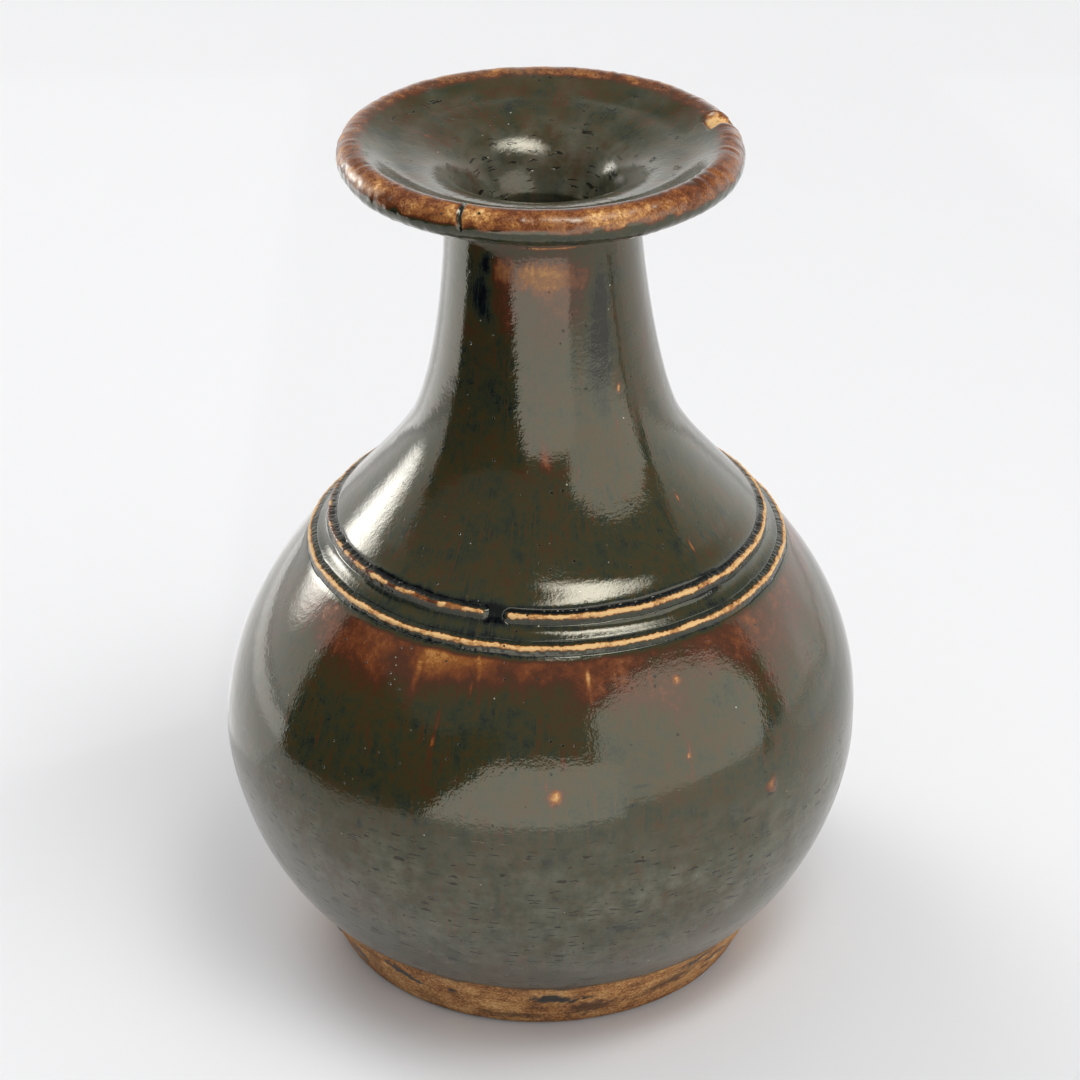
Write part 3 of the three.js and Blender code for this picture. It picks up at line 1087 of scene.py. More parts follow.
    def film(self, spots: Surface) -> np.ndarray:
        """Change of the glaze film near the rings: thin on the crests and pooled beside them."""
        low, high = self.above(self.lower_height, spots), self.above(self.upper_height, spots)
        width = self.bare_width + self.width_change * CREST_WIDTH.at(spots.bearing, spots.height)
        width = width + self.knot_change * CREST_KNOTS.at(spots.bearing, spots.height)
        left = smooth(*self.BROKEN_FROM, -spots.bearing) * (1 - smooth(*self.BROKEN_TO, -spots.bearing))
        breaks = smooth(*self.BREAKS, CREST_BREAKS.at(spots.bearing, spots.height))
        breaks = self.BREAK_SHARE * left * breaks
        bare_low = 1 - smooth(width, width + self.bare_fade, np.abs(low))
        crest = np.hypot(high, self.past_end(spots))
        bare_high = (1 - smooth(width, width + self.bare_fade, crest)) * (1 - breaks)
        pool = self.gap_pool * (1 - self.gate(spots)) * bell(high, self.gap_pool_width)
        for distance, pools in ((low, self.LOWER_POOLS), (high, self.UPPER_POOLS)):
            for depth, middle, spread in pools:
                pool = pool + depth * bell(distance - middle, spread)
        return pool - (self.BARE_FILM + pool) * np.maximum(bare_low, bare_high)


CREST_WANDER = Waviness(seed=21, cell_degrees=6.0, cell_height=4.0)
CREST_WIDTH = Waviness(seed=22, cell_degrees=4.3, cell_height=3.0)
CREST_KNOTS = Waviness(seed=23, cell_degrees=0.6, cell_height=0.7)
CREST_BREAKS = Waviness(seed=24, cell_degrees=2.3, cell_height=3.0)
RUST_LOBES = Waviness(seed=31, cell_degrees=13.0, cell_height=60.0)
RUST_DRIPS = Waviness(seed=32, cell_degrees=2.6, cell_height=26.0)
RUST_STREAKS = Waviness(seed=35, cell_degrees=0.7, cell_height=22.0)
RUST_BLOTS = Waviness(seed=36, cell_degrees=4.5, cell_height=6.5)
FORM_WAVES = Waviness(seed=33, cell_degrees=38.0, cell_height=34.0)
HAZE_CLOUDS = Waviness(seed=34, cell_degrees=9.0, cell_height=9.0)


@dataclass(frozen=True)
class WallSkin:
    """Relief and glaze of the wall, from the glaze edge above the foot to the collar."""

    form: VaseForm
    rings: ShoulderRings
    wave_height: float = 0.16
    rust_reach: float = 16.0
    rust_lobe: float = 7.0
    rust_drip: float = 2.5
    rust_depth: float = 0.42
    rust_blots: float = 0.14
    rust_warmth: float = 0.36
    warm_bearing: float = -24.0
    calm_bearing: float = -86.0
    streak_depth: float = 0.10

    # Distances below the lower crest between which rust and its streaks come and go
    RUST_START, STREAK_START, STREAK_END = (1.8, 5.0), (4, 10), (22, 44)
    # Shares of the reach between which rust fades
    RUST_FADE = (0.45, 1.9)
    CALM, CALM_WIDTH, WARM_WIDTH = 0.85, 30, 28
    STREAK_RANGE, STREAK_LOBES, LOBE_LIFT = (0.45, 0.9), (0.0, 0.5), 0.6
    # Heights between which the wear fades upwards and grows over the foot; its lighter colour low on the
    # belly is also a painted reflection of the floor, kept weaker just above the foot as painted shade
    HAZE_TOP, HAZE_FOOT, HAZE_LEAST = (70, 104), (25, 60), 0.5
    HAZE_LEVEL, HAZE_CHANGE = 0.9, 0.3
    # Patches with the height of a dimple or a blister in mm
    DIMPLES = (
        (Patch(67.3, 121.7, 6.5, 7.5, softness=0.9), -0.55),
        (Patch(1.8, 104.4, 1.7, 1.7, softness=0.6), 0.22),
        (Patch(44.5, 93.2, 1.9, 2.4, softness=0.6), 0.30),
    )
    # Patches with the film that covers them: pools and amber on the neck, and a painted dark reflection on
    # its right
    FILMS = (
        (Patch(-32.0, 243.6, 3.0, 3.4, softness=0.5, ragged=0.2), 1.70),
        (Patch(-35.0, 233.0, 3.6, 7.0, softness=0.8, ragged=0.2), 1.50),
        (Patch(-21.0, 233.5, 4.6, 8.5, softness=0.9, ragged=0.1), 0.50),
        (Patch(-24.0, 242.6, 3.4, 4.2, softness=0.6, ragged=0.2), 0.24),
        (Patch(6.0, 233.5, 6.6, 9.0, softness=1.0, ragged=0.1), 0.55),
        (Patch(2.0, 241.6, 12.0, 5.4, softness=0.6, ragged=0.25), 0.25),
        (Patch(23.0, 239.5, 4.0, 3.0, softness=0.8, ragged=0.2), 0.36),
        # Painted reflection: a tall dark streak and a thin dark line on the neck's right, where a dark
        # frame shows mirrored
        (Patch(30.5, 221.0, 3.4, 19.0, turn=-4.0, softness=0.7, ragged=0.15), 1.65),
        (Patch(34.8, 224.0, 0.4, 9.5, turn=-5.0, softness=0.4, ragged=0.5), 2.0),
        (Patch(2.0, 250.3, 14.0, 0.45, softness=0.3, ragged=0.3), 0.14),
        (Patch(38.5, 204.5, 0.7, 1.6, turn=-14.0, softness=0.5), 0.12),
        (Patch(-0.5, 187.0, 1.8, 3.2, softness=0.8, ragged=0.3), 0.42),
        # Blisters with an amber rim
        (Patch(1.8, 104.4, 2.6, 2.8, softness=0.35, ragged=0.2), 0.30),
        (Patch(1.8, 104.7, 1.2, 1.3, softness=0.3, ragged=0.2), 0.09),
        (Patch(44.5, 92.8, 2.2, 3.4, softness=0.4, ragged=0.4), 0.34),
        (Patch(44.3, 93.6, 0.9, 1.2, softness=0.6, ragged=0.4), 0.14),
        (Patch(27.9, 130.8, 1.5, 1.5, softness=0.3), 0.36),
        (Patch(27.9, 131.0, 0.7, 0.7, softness=0.3), 0.10),
        # Amber drips and rust under the rings
        (Patch(-14.9, 136.4, 0.6, 3.6, turn=9.0, softness=0.8, ragged=0.3), 0.20),
        (Patch(-15.8, 131.4, 0.5, 2.2, softness=0.8, ragged=0.3), 0.30),
        (Patch(8.8, 134.6, 0.5, 2.4, softness=0.6, ragged=0.3), 0.16),
        (Patch(9.1, 130.0, 0.5, 2.4, softness=0.8, ragged=0.3), 0.32),
        (Patch(22.2, 132.6, 0.5, 2.4, softness=0.8, ragged=0.3), 0.36),
        (Patch(-51.0, 132.5, 7.0, 4.0, softness=0.9, ragged=0.3), 0.46),
        (Patch(-36.0, 134.0, 7.0, 4.0, softness=0.9, ragged=0.3), 0.44),
        (Patch(49.0, 135.5, 6.0, 5.0, softness=0.9, ragged=0.3), 0.42),
        (Patch(-21.6, 119.0, 0.5, 8.5, turn=-3.0, softness=0.9, ragged=0.2), 0.40),
        (Patch(-21.7, 116.6, 0.6, 1.3, softness=0.6, ragged=0.3), 0.20),
        (Patch(27.5, 112.0, 0.5, 4.5, softness=0.9, ragged=0.2), 0.44),
        (Patch(27.0, 111.0, 0.7, 0.8, softness=0.5), 0.14),
        (Patch(53.0, 169.2, 0.5, 1.2, softness=0.6), 0.12),
        (Patch(47.9, 158.2, 0.5, 2.0, softness=0.6), 0.12),
        # Dark scars on the belly
        (Patch(17.1, 105.4, 2.6, 0.35, softness=0.4, ragged=0.5), 1.5),
        (Patch(14.4, 99.9, 4.0, 0.35, turn=12.0, softness=0.4, ragged=0.6), 1.5),
        (Patch(14.5, 56.0, 4.6, 1.3, turn=4.0, softness=0.3, ragged=0.7), 1.4),
        (Patch(23.1, 47.8, 1.6, 2.0, softness=0.4, ragged=0.6), 1.4),
        (Patch(-68.3, 88.8, 1.0, 1.8, softness=0.3, ragged=0.4), 1.5),
        (Patch(-33.3, 87.3, 1.0, 1.3, softness=0.3, ragged=0.4), 1.5),
        (Patch(-46.6, 40.6, 2.8, 1.0, turn=-30.0, softness=0.3, ragged=0.6), 1.5),
    )

    def relief(self, spots: Surface) -> np.ndarray:
        """Outward moves in mm, without the seats of the fillets."""
        moves = self.rings.hollow(spots)
        moves = moves + self.wave_height * FORM_WAVES.at(spots.bearing, spots.height)
        for patch, height in self.DIMPLES:
            moves = moves + height * patch.cover(spots)
        return moves

    def seated_relief(self, spots: Surface) -> np.ndarray:
        """Outward moves in mm, with the seats of the fillets."""
        return self.relief(spots) + self.rings.seats(spots)

    def film(self, spots: Surface) -> np.ndarray:
        """Film thickness: 1 is the usual depth of the glaze; two patches on the neck are a painted dark
        reflection.
        """
        below = -self.rings.above(self.rings.lower_height, spots)
        lobes = RUST_LOBES.at(spots.bearing, spots.height)
        drips = RUST_DRIPS.at(spots.bearing, spots.height)
        reach = self.rust_reach + self.rust_lobe * lobes + self.rust_drip * drips
        rust = smooth(*self.RUST_START, below) * (1 - smooth(*self.RUST_FADE, below / reach))
        rust = rust * (1 - self.CALM * bell(turned_from(spots.bearing, self.calm_bearing), self.CALM_WIDTH))
        blots = self.rust_blots * RUST_BLOTS.at(spots.bearing, spots.height)
        warm = self.rust_warmth * bell(turned_from(spots.bearing, self.warm_bearing), self.WARM_WIDTH)
        film = 1.0 + self.rings.film(spots) - (self.rust_depth + blots + warm) * rust
        streaks = smooth(*self.STREAK_RANGE, RUST_STREAKS.at(spots.bearing, spots.height))
        streaks = streaks * smooth(*self.STREAK_START, below) * (1 - smooth(*self.STREAK_END, below))
        film = film - self.streak_depth * streaks * smooth(*self.STREAK_LOBES, lobes + self.LOBE_LIFT)
        for patch, depth in self.FILMS:
            cover = patch.cover(spots)
            film = film * (1 - cover) + depth * cover
        return film

    def haze(self, spots: Surface) -> np.ndarray:
        """Dull wear low on the belly, whose lighter colour is also a painted reflection of the floor,
        weaker near the foot as painted shade.
        """
        clouds = HAZE_CLOUDS.at(spots.bearing, spots.height)
        # Painted shade: less of the painted floor reflection just above the foot
        foot = self.HAZE_LEAST + (1 - self.HAZE_LEAST) * smooth(*self.HAZE_FOOT, spots.height)
        share = (1 - smooth(*self.HAZE_TOP, spots.height)) * foot
        return share * (self.HAZE_LEVEL + self.HAZE_CHANGE * clouds)


@dataclass(frozen=True)
class RingSkin:
    """Relief and glaze of one fillet, which share the wall's glaze."""

    wall: WallSkin
    crest: float
    is_open: bool

    def relief(self, spots: Surface) -> np.ndarray:
        """Outward moves in mm."""
        waves = self.wall.wave_height * FORM_WAVES.at(spots.bearing, spots.height)
        return self.wall.rings.fillet(self.crest, spots, self.is_open) + waves


@dataclass(frozen=True)
class MouthSkin:
    """Relief and glaze of the collar, the flange, the dish and the lip bead."""

    form: VaseForm
    wall: WallSkin
    lump_height: float = 0.26
    knot_height: float = 0.12
    chip_depth: float = 1.6
    crack_depth: float = 0.7
    swell_height: float = 0.9
    wave_height: float = 0.14

    # Distances past the bead's surface between which its relief gives way to the dish's
    BEAD_EDGE = (0.1, 0.8)
    # How far waves and clouds are drawn together over the dish, and turned for the haze
    WAVE_SQUEEZE, CLOUD_SQUEEZE, HAZE_TURN = 3, 2, 40
    # Degrees round the bead: where its bare crown starts and ends, its amber, and the line underneath
    CROWN_START, CROWN_END, CROWN_END_BACK, CROWN_FADE = (-6, 12), 104, 20, 26
    AMBER, AMBER_WIDTH, LINE, LINE_WIDTH, EDGE_WOBBLE = 44, 28, -47, 7, 11
    FREE_FROM, FREE_TO = (-90, -50), (85, 120)
    # Bearings where the line starts, and sines of the bearing between which painted shade darkens the
    # bead's left and right
    LINE_START, SIDES = (5, 40), (0.3, 0.9)
    # Film on the bead's side, and what each mark takes off it or adds, with painted shade on its left and
    # right
    SIDE_FILM, CROWN_LOSS, AMBER_LOSS, LINE_LOSS = 1.12, 0.82, 0.20, 0.85
    SIDES_GAIN, RIGHT_GAIN, CRACK_GAIN = 0.06, 0.10, 1.2
    AMBER_LEVEL, AMBER_CHANGE = 0.6, 0.4
    # Film and haze of the dish, and the radii between which its rim and its throat fade
    DISH_FILM, DISH_CLOUDS, RIM_LOSS, RIM, THROAT = 1.02, 0.2, 0.06, (38, 50), (24, 36)
    RIM_BEARING, DISH_HAZE, HAZE_CHANGE, THROAT_HAZE = 20, 0.25, 0.25, 0.5
    CHIP = Patch(104.6, 273.0, 3.6, 2.6, softness=0.5, ragged=0.4)
    CRACK = Patch(-22.5, 271.5, 0.6, 3.4, turn=8.0, softness=0.5, ragged=0.3)
    SWELL = Patch(-163.0, 251.0, 11.0, 10.0, softness=0.9)

    def round_bead(self, spots: Surface) -> np.ndarray:
        """Degrees up round the bead from its outermost point."""
        rise = spots.height - self.form.lip_height
        return np.degrees(np.arctan2(rise, spots.radius - self.form.lip_radius))

    def on_bead(self, spots: Surface) -> np.ndarray:
        """1 on the bead and 0 on the dish and the flange."""
        away = np.hypot(spots.height - self.form.lip_height, spots.radius - self.form.lip_radius)
        return 1 - smooth(*self.BEAD_EDGE, away - self.form.bead_radius)

    def bead_relief(self, spots: Surface) -> np.ndarray:
        """Outward moves of the bead in mm: a hand-rolled unevenness, a chip and a crack."""
        lumps = self.lump_height * BEAD_LUMPS.at(spots.bearing, spots.height)
        knots = self.knot_height * BEAD_KNOTS.at(spots.bearing, spots.height)
        angle = self.round_bead(spots)
        free = smooth(*self.FREE_FROM, angle) * (1 - smooth(*self.FREE_TO, angle))
        marks = self.chip_depth * self.CHIP.cover(spots) + self.crack_depth * self.CRACK.cover(spots)
        return (lumps + knots) * free - marks

    def bead_film(self, spots: Surface) -> np.ndarray:
        """Film on the bead: amber and rust on its crown, dark on its side, a thin line underneath, and
        painted shade on its left and right, more on the right.
        """
        angle = self.round_bead(spots)
        edge = angle + self.EDGE_WOBBLE * BEAD_EDGES.at(spots.bearing, spots.height)
        inner = self.CROWN_END + self.CROWN_END_BACK * (1 - np.cos(np.radians(spots.bearing)))
        ends = smooth(inner - self.CROWN_FADE, inner + self.CROWN_FADE, edge)
        crown = smooth(*self.CROWN_START, edge) * (1 - ends)
        lumps = BEAD_LUMPS.at(spots.bearing + QUARTER_TURN, spots.height)
        lumps = self.AMBER_LEVEL + self.AMBER_CHANGE * lumps
        amber = self.AMBER_LOSS * bell(edge - self.AMBER, self.AMBER_WIDTH) * lumps
        line = self.LINE_LOSS * bell(angle - self.LINE, self.LINE_WIDTH)
        # Painted shade: thicker film darkens the bead towards its left and right as seen from the front,
        # more on the right
        across = np.sin(np.radians(spots.bearing))
        sides = self.SIDES_GAIN * smooth(*self.SIDES, np.abs(across))
        sides = sides + self.RIGHT_GAIN * smooth(*self.SIDES, across)
        film = self.SIDE_FILM - (self.CROWN_LOSS + amber - sides) * crown
        film = film - line * smooth(*self.LINE_START, spots.bearing)
        return film * (1 - self.CHIP.cover(spots)) + self.CRACK_GAIN * self.CRACK.cover(spots)

    def relief(self, spots: Surface) -> np.ndarray:
        """Outward moves of the dish, the flange and the bead in mm."""
        bead = self.on_bead(spots)
        slow = self.wave_height * FORM_WAVES.at(spots.bearing, spots.radius * self.WAVE_SQUEEZE)
        dish = slow + self.swell_height * self.SWELL.cover(spots)
        moves = np.where(spots.faces_out, self.wall.relief(spots), dish)
        return self.bead_relief(spots) * bead + moves * (1 - bead)

    def film(self, spots: Surface) -> np.ndarray:
        """Film on the bead, in the dish and under the flange."""
        bead = self.on_bead(spots)
        clouds = HAZE_CLOUDS.at(spots.bearing, spots.radius * self.CLOUD_SQUEEZE)
        rim = smooth(*self.RIM, spots.radius) * (1 - np.cos(np.radians(spots.bearing - self.RIM_BEARING)))
        dish = self.DISH_FILM + self.DISH_CLOUDS * clouds - self.RIM_LOSS * rim
        film = np.where(spots.faces_out, self.wall.film(spots), dish)
        return film * (1 - bead) + self.bead_film(spots) * bead

    def haze(self, spots: Surface) -> np.ndarray:
        """Worn patches in the dish."""
        clouds = HAZE_CLOUDS.at(spots.bearing + self.HAZE_TURN, spots.radius * self.CLOUD_SQUEEZE)
        throat = self.THROAT_HAZE * (1 - smooth(*self.THROAT, spots.radius))
        return (self.DISH_HAZE + self.HAZE_CHANGE * clouds + throat) * ~spots.faces_out


@dataclass(frozen=True)
class FootSkin:
    """Relief, stains, painted shade along the bottom edge and glaze splashes of the bare foot."""

    form: VaseForm
    glaze_hang: float = 0.9
    wave_height: float = 0.10
    splash_height: float = 0.22
    cloud_stain: float = 0.25
    # Darkness of the painted shade along the bottom edge
    edge_stain: float = 0.55
    patch_stain: float = 0.85

    # Heights below which relief fades and painted shade darkens the bottom edge, and the hanging glaze's
    # edge
    FLAT_FOOT, STAINED_EDGE, HANG_EDGE = (0.0, 1.5), (1.0, 3.2), (-0.25, 0.25)
    CLOUD_RANGE = (0.1, 0.9)
    SPLASHES = (
        Patch(-53.5, 10.5, 3.0, 4.4, turn=-12.0, softness=0.12, ragged=0.45),
        Patch(-64.0, 16.5, 4.5, 2.2, turn=-30.0, softness=0.12, ragged=0.45),
        Patch(-36.2, 15.4, 6.4, 2.0, turn=-20.0, softness=0.12, ragged=0.5),
        Patch(-22.1, 14.7, 1.5, 0.8, softness=0.2, ragged=0.4),
        Patch(4.4, 15.2, 9.0, 2.0, turn=-6.0, softness=0.12, ragged=0.55),
        Patch(42.0, 18.0, 6.0, 1.2, turn=14.0, softness=0.15, ragged=0.6),
        Patch(50.0, 14.0, 3.6, 1.0, turn=20.0, softness=0.15, ragged=0.6),
        Patch(54.0, 13.0, 2.6, 0.8, turn=20.0, softness=0.2, ragged=0.7),
        Patch(150.0, 13.0, 6.5, 1.4, softness=0.25, ragged=0.5),
        Patch(-128.0, 17.0, 5.0, 1.2, softness=0.25, ragged=0.5),
    )
    STAINS = (
        Patch(12.5, 8.2, 7.5, 3.2, turn=8.0, softness=0.4, ragged=0.55),
        Patch(48.7, 8.5, 2.0, 0.9, softness=0.5, ragged=0.6),
        Patch(36.0, 12.0, 9.0, 2.4, turn=10.0, softness=0.9, ragged=0.6),
        Patch(-8.0, 5.0, 9.0, 1.2, softness=0.8, ragged=0.5),
        Patch(-110.0, 6.0, 10.0, 2.0, softness=0.8, ragged=0.5),
        Patch(120.0, 9.0, 8.0, 2.0, softness=0.8, ragged=0.5),
    )

    def relief(self, spots: Surface) -> np.ndarray:
        """Outward moves in mm."""
        moves = self.wave_height * STAIN_CLOUDS.at(spots.bearing, spots.height)
        for patch in self.SPLASHES:
            moves = moves + self.splash_height * patch.cover(spots)
        return moves * smooth(*self.FLAT_FOOT, spots.height)

    def splash(self, spots: Surface) -> np.ndarray:
        """Glaze on the bare clay: splashes, and the ragged edge that hangs over the foot."""
        hang = self.glaze_hang * (1 + STAIN_CLOUDS.at(spots.bearing, np.zeros_like(spots.height)))
        cover = smooth(*self.HANG_EDGE, spots.height - (self.form.foot_height - hang))
        for patch in self.SPLASHES:
            cover = np.maximum(cover, patch.cover(spots))
        return cover

    def stain(self, spots: Surface) -> np.ndarray:
        """Brown stains in the clay, and painted shade that darkens it towards its bottom edge."""
        clouds = STAIN_CLOUDS.at(spots.bearing, spots.height)
        cover = self.cloud_stain * smooth(*self.CLOUD_RANGE, clouds)
        # Painted shade: the clay darkens towards its bottom edge, next to the table
        cover = np.maximum(cover, self.edge_stain * (1 - smooth(*self.STAINED_EDGE, spots.height)))
        for patch in self.STAINS:
            cover = np.maximum(cover, self.patch_stain * patch.cover(spots))
        return cover


BEAD_LUMPS = Waviness(seed=41, cell_degrees=14.0, cell_height=6.0)
BEAD_KNOTS = Waviness(seed=42, cell_degrees=1.8, cell_height=2.2)
BEAD_EDGES = Waviness(seed=43, cell_degrees=3.1, cell_height=2.8)
STAIN_CLOUDS = Waviness(seed=51, cell_degrees=5.0, cell_height=5.0)


class Potter:
    """Makes every section of the vase and reports it."""

    # Rows along an outline in mm: the wall, inside walls, the wall near the rings, the lip
    FINE = 0.92
    COARSE = 9.0
    BAND_ROW = 0.40
    BEAD_ROW = 0.45
    # How far the fine rows go on past the rings, and the step and gap between the dish and the lip
    BAND_MARGIN = 7.0
    LIP_STEP = 1.0
    LIP_GAP = 0.04
    # Points of the bead's seat and crown, and of the corner inside the floor, and its pull
    SEAT_POINTS, CROWN_POINTS, CORNER_POINTS, CORNER_PULL = 61, 241, 8, 0.5

    def __init__(self) -> None:
        """Sets up the form, the wheel and the finishes."""
        self.form = VaseForm()
        self.rings = ShoulderRings(self.form)
        self.wall = WallSkin(self.form, self.rings)
        self.mouth = MouthSkin(self.form, self.wall)
        self.foot = FootSkin(self.form)
        self.wheel = ThrowingWheel()
        self.outline = self.form.outline()
        self.bore = self.form.bore()
        self.glaze = IronGlaze("iron_glaze_dipped_glossy").material()
        self.broken = IronGlaze("iron_glaze_broken_over_edges", thin_roughness=0.46, streak_share=0.0,
                                cloud_share=0.3, mottle_share=0.7, fleck_share=0.7,
                                thin_share=1.0).material()
        self.clay = TurnedClay().material()

    def dress(self, piece: bpy.types.Object, node: str, relief: Painter,
              layers: dict[Layer, Painter]) -> None:
        """Paints and presses a piece, ties it to the frame and reports it.

        Args:
            piece: Turned object.
            node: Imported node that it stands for.
            relief: Gives its outward moves in mm.
            layers: Give the values that its material reads.
        """
        spots = Surface(piece)
        for layer, values in layers.items():
            spots.paint(layer, values(spots))
        spots.press(relief(spots), self.form.drift(spots.height))
        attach(piece, BODY)
        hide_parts(node)
        LOG.info("%s: %d points, %d faces", piece.name, len(piece.data.vertices),
                 len(piece.data.polygons))

    def fine(self, *lines: np.ndarray) -> np.ndarray:
        """Joins lines and gives them fine rows, thin at both ends."""
        return thin_ends(even_steps(np.vstack(lines), self.FINE, seam_rows=False))

    def bore_down(self, high: float, low: float) -> np.ndarray:
        """Inner wall from one height down to another, in coarse rows."""
        line = self.form.between(self.bore, low, high)
        return even_steps(line, self.COARSE, seam_rows=False)[::-1]

    def wall_run(self, low: float, high: float) -> Run:
        """Run of a wall section between two heights, finer near the rings."""
        edges = [low, self.rings.lower_height - self.BAND_MARGIN,
                 self.rings.upper_height + self.BAND_MARGIN, high]
        stretches = []
        for i, row in enumerate((self.FINE, self.BAND_ROW, self.FINE)):
            start, end = np.clip(edges[i], low, high), np.clip(edges[i + 1], low, high)
            if end > start:
                line = self.form.between(self.outline, start, end)
                stretches.append(even_steps(line, row, seam_rows=False))
        outside = np.vstack([stretches[0]] + [line[1:] for line in stretches[1:]])
        return Run(((thin_ends(outside), True), (self.bore_down(high, low), False)))

    def throw_walls(self) -> None:
        """Throws the four sections of the wall."""
        form = self.form
        heights = (form.foot_height, form.belly_height, form.seam_height, form.root_height,
                   form.collar_base_height)
        names = (("glazed_lower_body", "lower_body"), ("glazed_upper_body", "upper_body"),
                 ("glazed_shoulder", "shoulder"), ("glazed_neck", "neck"))
        layers = {Layer.FILM: self.wall.film, Layer.HAZE: self.wall.haze}
        for (name, node), low, high in zip(names, heights, heights[1:]):
            piece = self.wheel.turn(name, self.wall_run(low, high), self.glaze)
            self.dress(piece, node, self.wall.seated_relief, layers)

    def lay_rings(self) -> None:
        """Lays the two fillets on the shoulder, the upper one open near the front."""
        rings = self.rings
        layers = {Layer.FILM: self.wall.film, Layer.HAZE: self.wall.haze}
        for name, node, crest, is_open in (
                ("laid_lower_ring", "lower_shoulder_ring", rings.lower_height, False),
                ("laid_upper_ring", "upper_shoulder_ring", rings.upper_height, True)):
            piece = self.wheel.turn(name, rings.run(crest), self.broken, RING_SEGMENTS)
            if is_open:
                open_ring(piece, rings.gap_bearing, rings.cut_half_degrees())
            skin = RingSkin(self.wall, crest, is_open)
            self.dress(piece, node, skin.relief, layers)

    def open_mouth(self) -> None:
        """Makes the collar, the flange and the dish, and the bead that is rolled on its edge."""
        form, radius = self.form, self.form.bead_radius
        centre = (form.lip_radius, form.lip_height)
        inner = arc(centre, radius, form.bead_inner_degrees)[0]
        dish_edge = (inner, form.lip_height + form.dish_edge_rise)
        waist = (form.waist_radius, form.waist_height)
        throat = (form.waist_radius - form.throat_wall, form.waist_height)
        collar = form.between(self.outline, form.collar_base_height, form.waist_height)
        flange = Bend(waist, 0, form.flange_end[1], (inner, dish_edge[1] - form.flange_thickness),
                      *form.flange_end).points()
        seat = arc(centre, radius, np.linspace(-QUARTER_TURN, form.bead_seat_degrees, self.SEAT_POINTS))
        seat_height = seat[-1][1]

        # Fillet from the bead into the dish: its upper half goes to the lip
        dish = Bend(dish_edge, *form.dish_edge, throat, *form.throat_end).points()
        dish = dish[dish[:, 0] < form.dish_blend_radius]
        leave = arc(centre, radius, form.bead_blend_degrees)
        along = dish[1] - dish[0]
        blend = Bend(tuple(leave), -form.bead_blend_degrees, form.bead_blend_pull, tuple(dish[0]),
                     math.degrees(math.atan2(along[0], along[1])), form.bead_blend_pull).points()
        half = len(blend) // 2

        outside = self.fine(collar[:-1], flange, seat)
        inside = np.vstack([self.fine(blend[half:-1], dish),
                            self.bore_down(form.waist_height, form.collar_base_height)[1:]])
        under = np.array([[inner + self.LIP_STEP, seat_height], [inner, seat_height],
                          [inner, dish_edge[1] - self.LIP_STEP]])
        turn = np.linspace(form.bead_seat_degrees, form.bead_blend_degrees, self.CROWN_POINTS)
        crown = np.vstack([arc(centre, radius, turn), blend[1:half + 1]])
        crown = thin_ends(even_steps(crown, self.BEAD_ROW, seam_rows=False))
        back = np.array([[inner, dish_edge[1] - self.LIP_STEP + self.LIP_GAP], [inner, seat_height]])
        back[:, 0] += self.LIP_GAP
        layers = {Layer.FILM: self.mouth.film, Layer.HAZE: self.mouth.haze}
        piece = self.wheel.turn("glazed_mouth_dish", Run(((outside, True), (under, False), (inside, True))),
                                self.glaze)
        self.dress(piece, "mouth_dish", self.mouth.relief, layers)
        piece = self.wheel.turn("rolled_lip", Run(((crown, True), (back, False))), self.broken)
        self.dress(piece, "lip_roll", self.mouth.relief, layers)

    def turn_foot(self) -> None:
        """Turns the foot ring and the floor of the pot with its bare sloping side."""
        form = self.form
        inner, bevel = form.foot_base_radius - form.foot_ring_width, form.foot_edge_bevel
        ring_top = form.foot_side(form.ring_height)
        side = even_steps(np.array([form.foot_side(bevel), ring_top]), self.FINE)
        rest = np.array([[inner, form.ring_height], [inner, bevel], [inner + bevel, 0],
                         [form.foot_base_radius - bevel, 0]])
        ring = self.wheel.turn("turned_foot_ring", Run(((side, True), (rest, False))), self.clay)
        side = even_steps(np.array([ring_top, form.foot_side(form.foot_height)]), self.FINE)
        corner_start = self.bore_down(form.belly_height, form.foot_height)[-1]
        corner_end = (corner_start[0] - form.floor_corner_radius, form.ring_height + form.floor_thickness)
        corner = Bend(tuple(corner_start), HALF_TURN, self.CORNER_PULL, corner_end, -QUARTER_TURN,
                      self.CORNER_PULL).points(self.CORNER_POINTS)
        floor = np.vstack([corner, [(corner_end[0] / 2, corner_end[1]), (0, corner_end[1])]])
        under = np.array([[0, form.ring_height], [inner, form.ring_height]])
        run = Run(((under, False), (side, True), (floor, False)), closed=False)
        base = self.wheel.turn("bare_base", run, self.clay)
        for piece, node in ((ring, "foot_ring"), (base, "base")):
            self.dress(piece, node, self.foot.relief,
                       {Layer.SPLASH: self.foot.splash, Layer.STAIN: self.foot.stain})

    def make(self) -> None:
        """Makes the whole vase."""
        self.turn_foot()
        self.throw_walls()
        self.lay_rings()
        self.open_mouth()


def thin_ends(line: np.ndarray) -> np.ndarray:
    """Adds a thin row at both ends of a line, so that shading runs on over a seam.

    Args:
        line: Points of the line.

    Returns:
        The points with one more next to each end.
    """
    near, far = line[1] - line[0], line[-2] - line[-1]
    first = line[0] + near * SEAM_ROW / np.hypot(*near)
    last = line[-1] + far * SEAM_ROW / np.hypot(*far)
    return np.vstack([line[:1], first, line[1:-1], last, line[-1:]])


def arc(centre: Point, radius: float, degrees: np.ndarray | float) -> np.ndarray:
    """Points on a circle, counted from straight outwards and rising.

    Args:
        centre: Radius and height of its centre.
        radius: Radius of the circle.
        degrees: Angle of each point.

    Returns:
        The points, as radius and height.
    """
    angle = np.radians(degrees)
    return np.stack([centre[0] + radius * np.cos(angle), centre[1] + radius * np.sin(angle)], axis=-1)


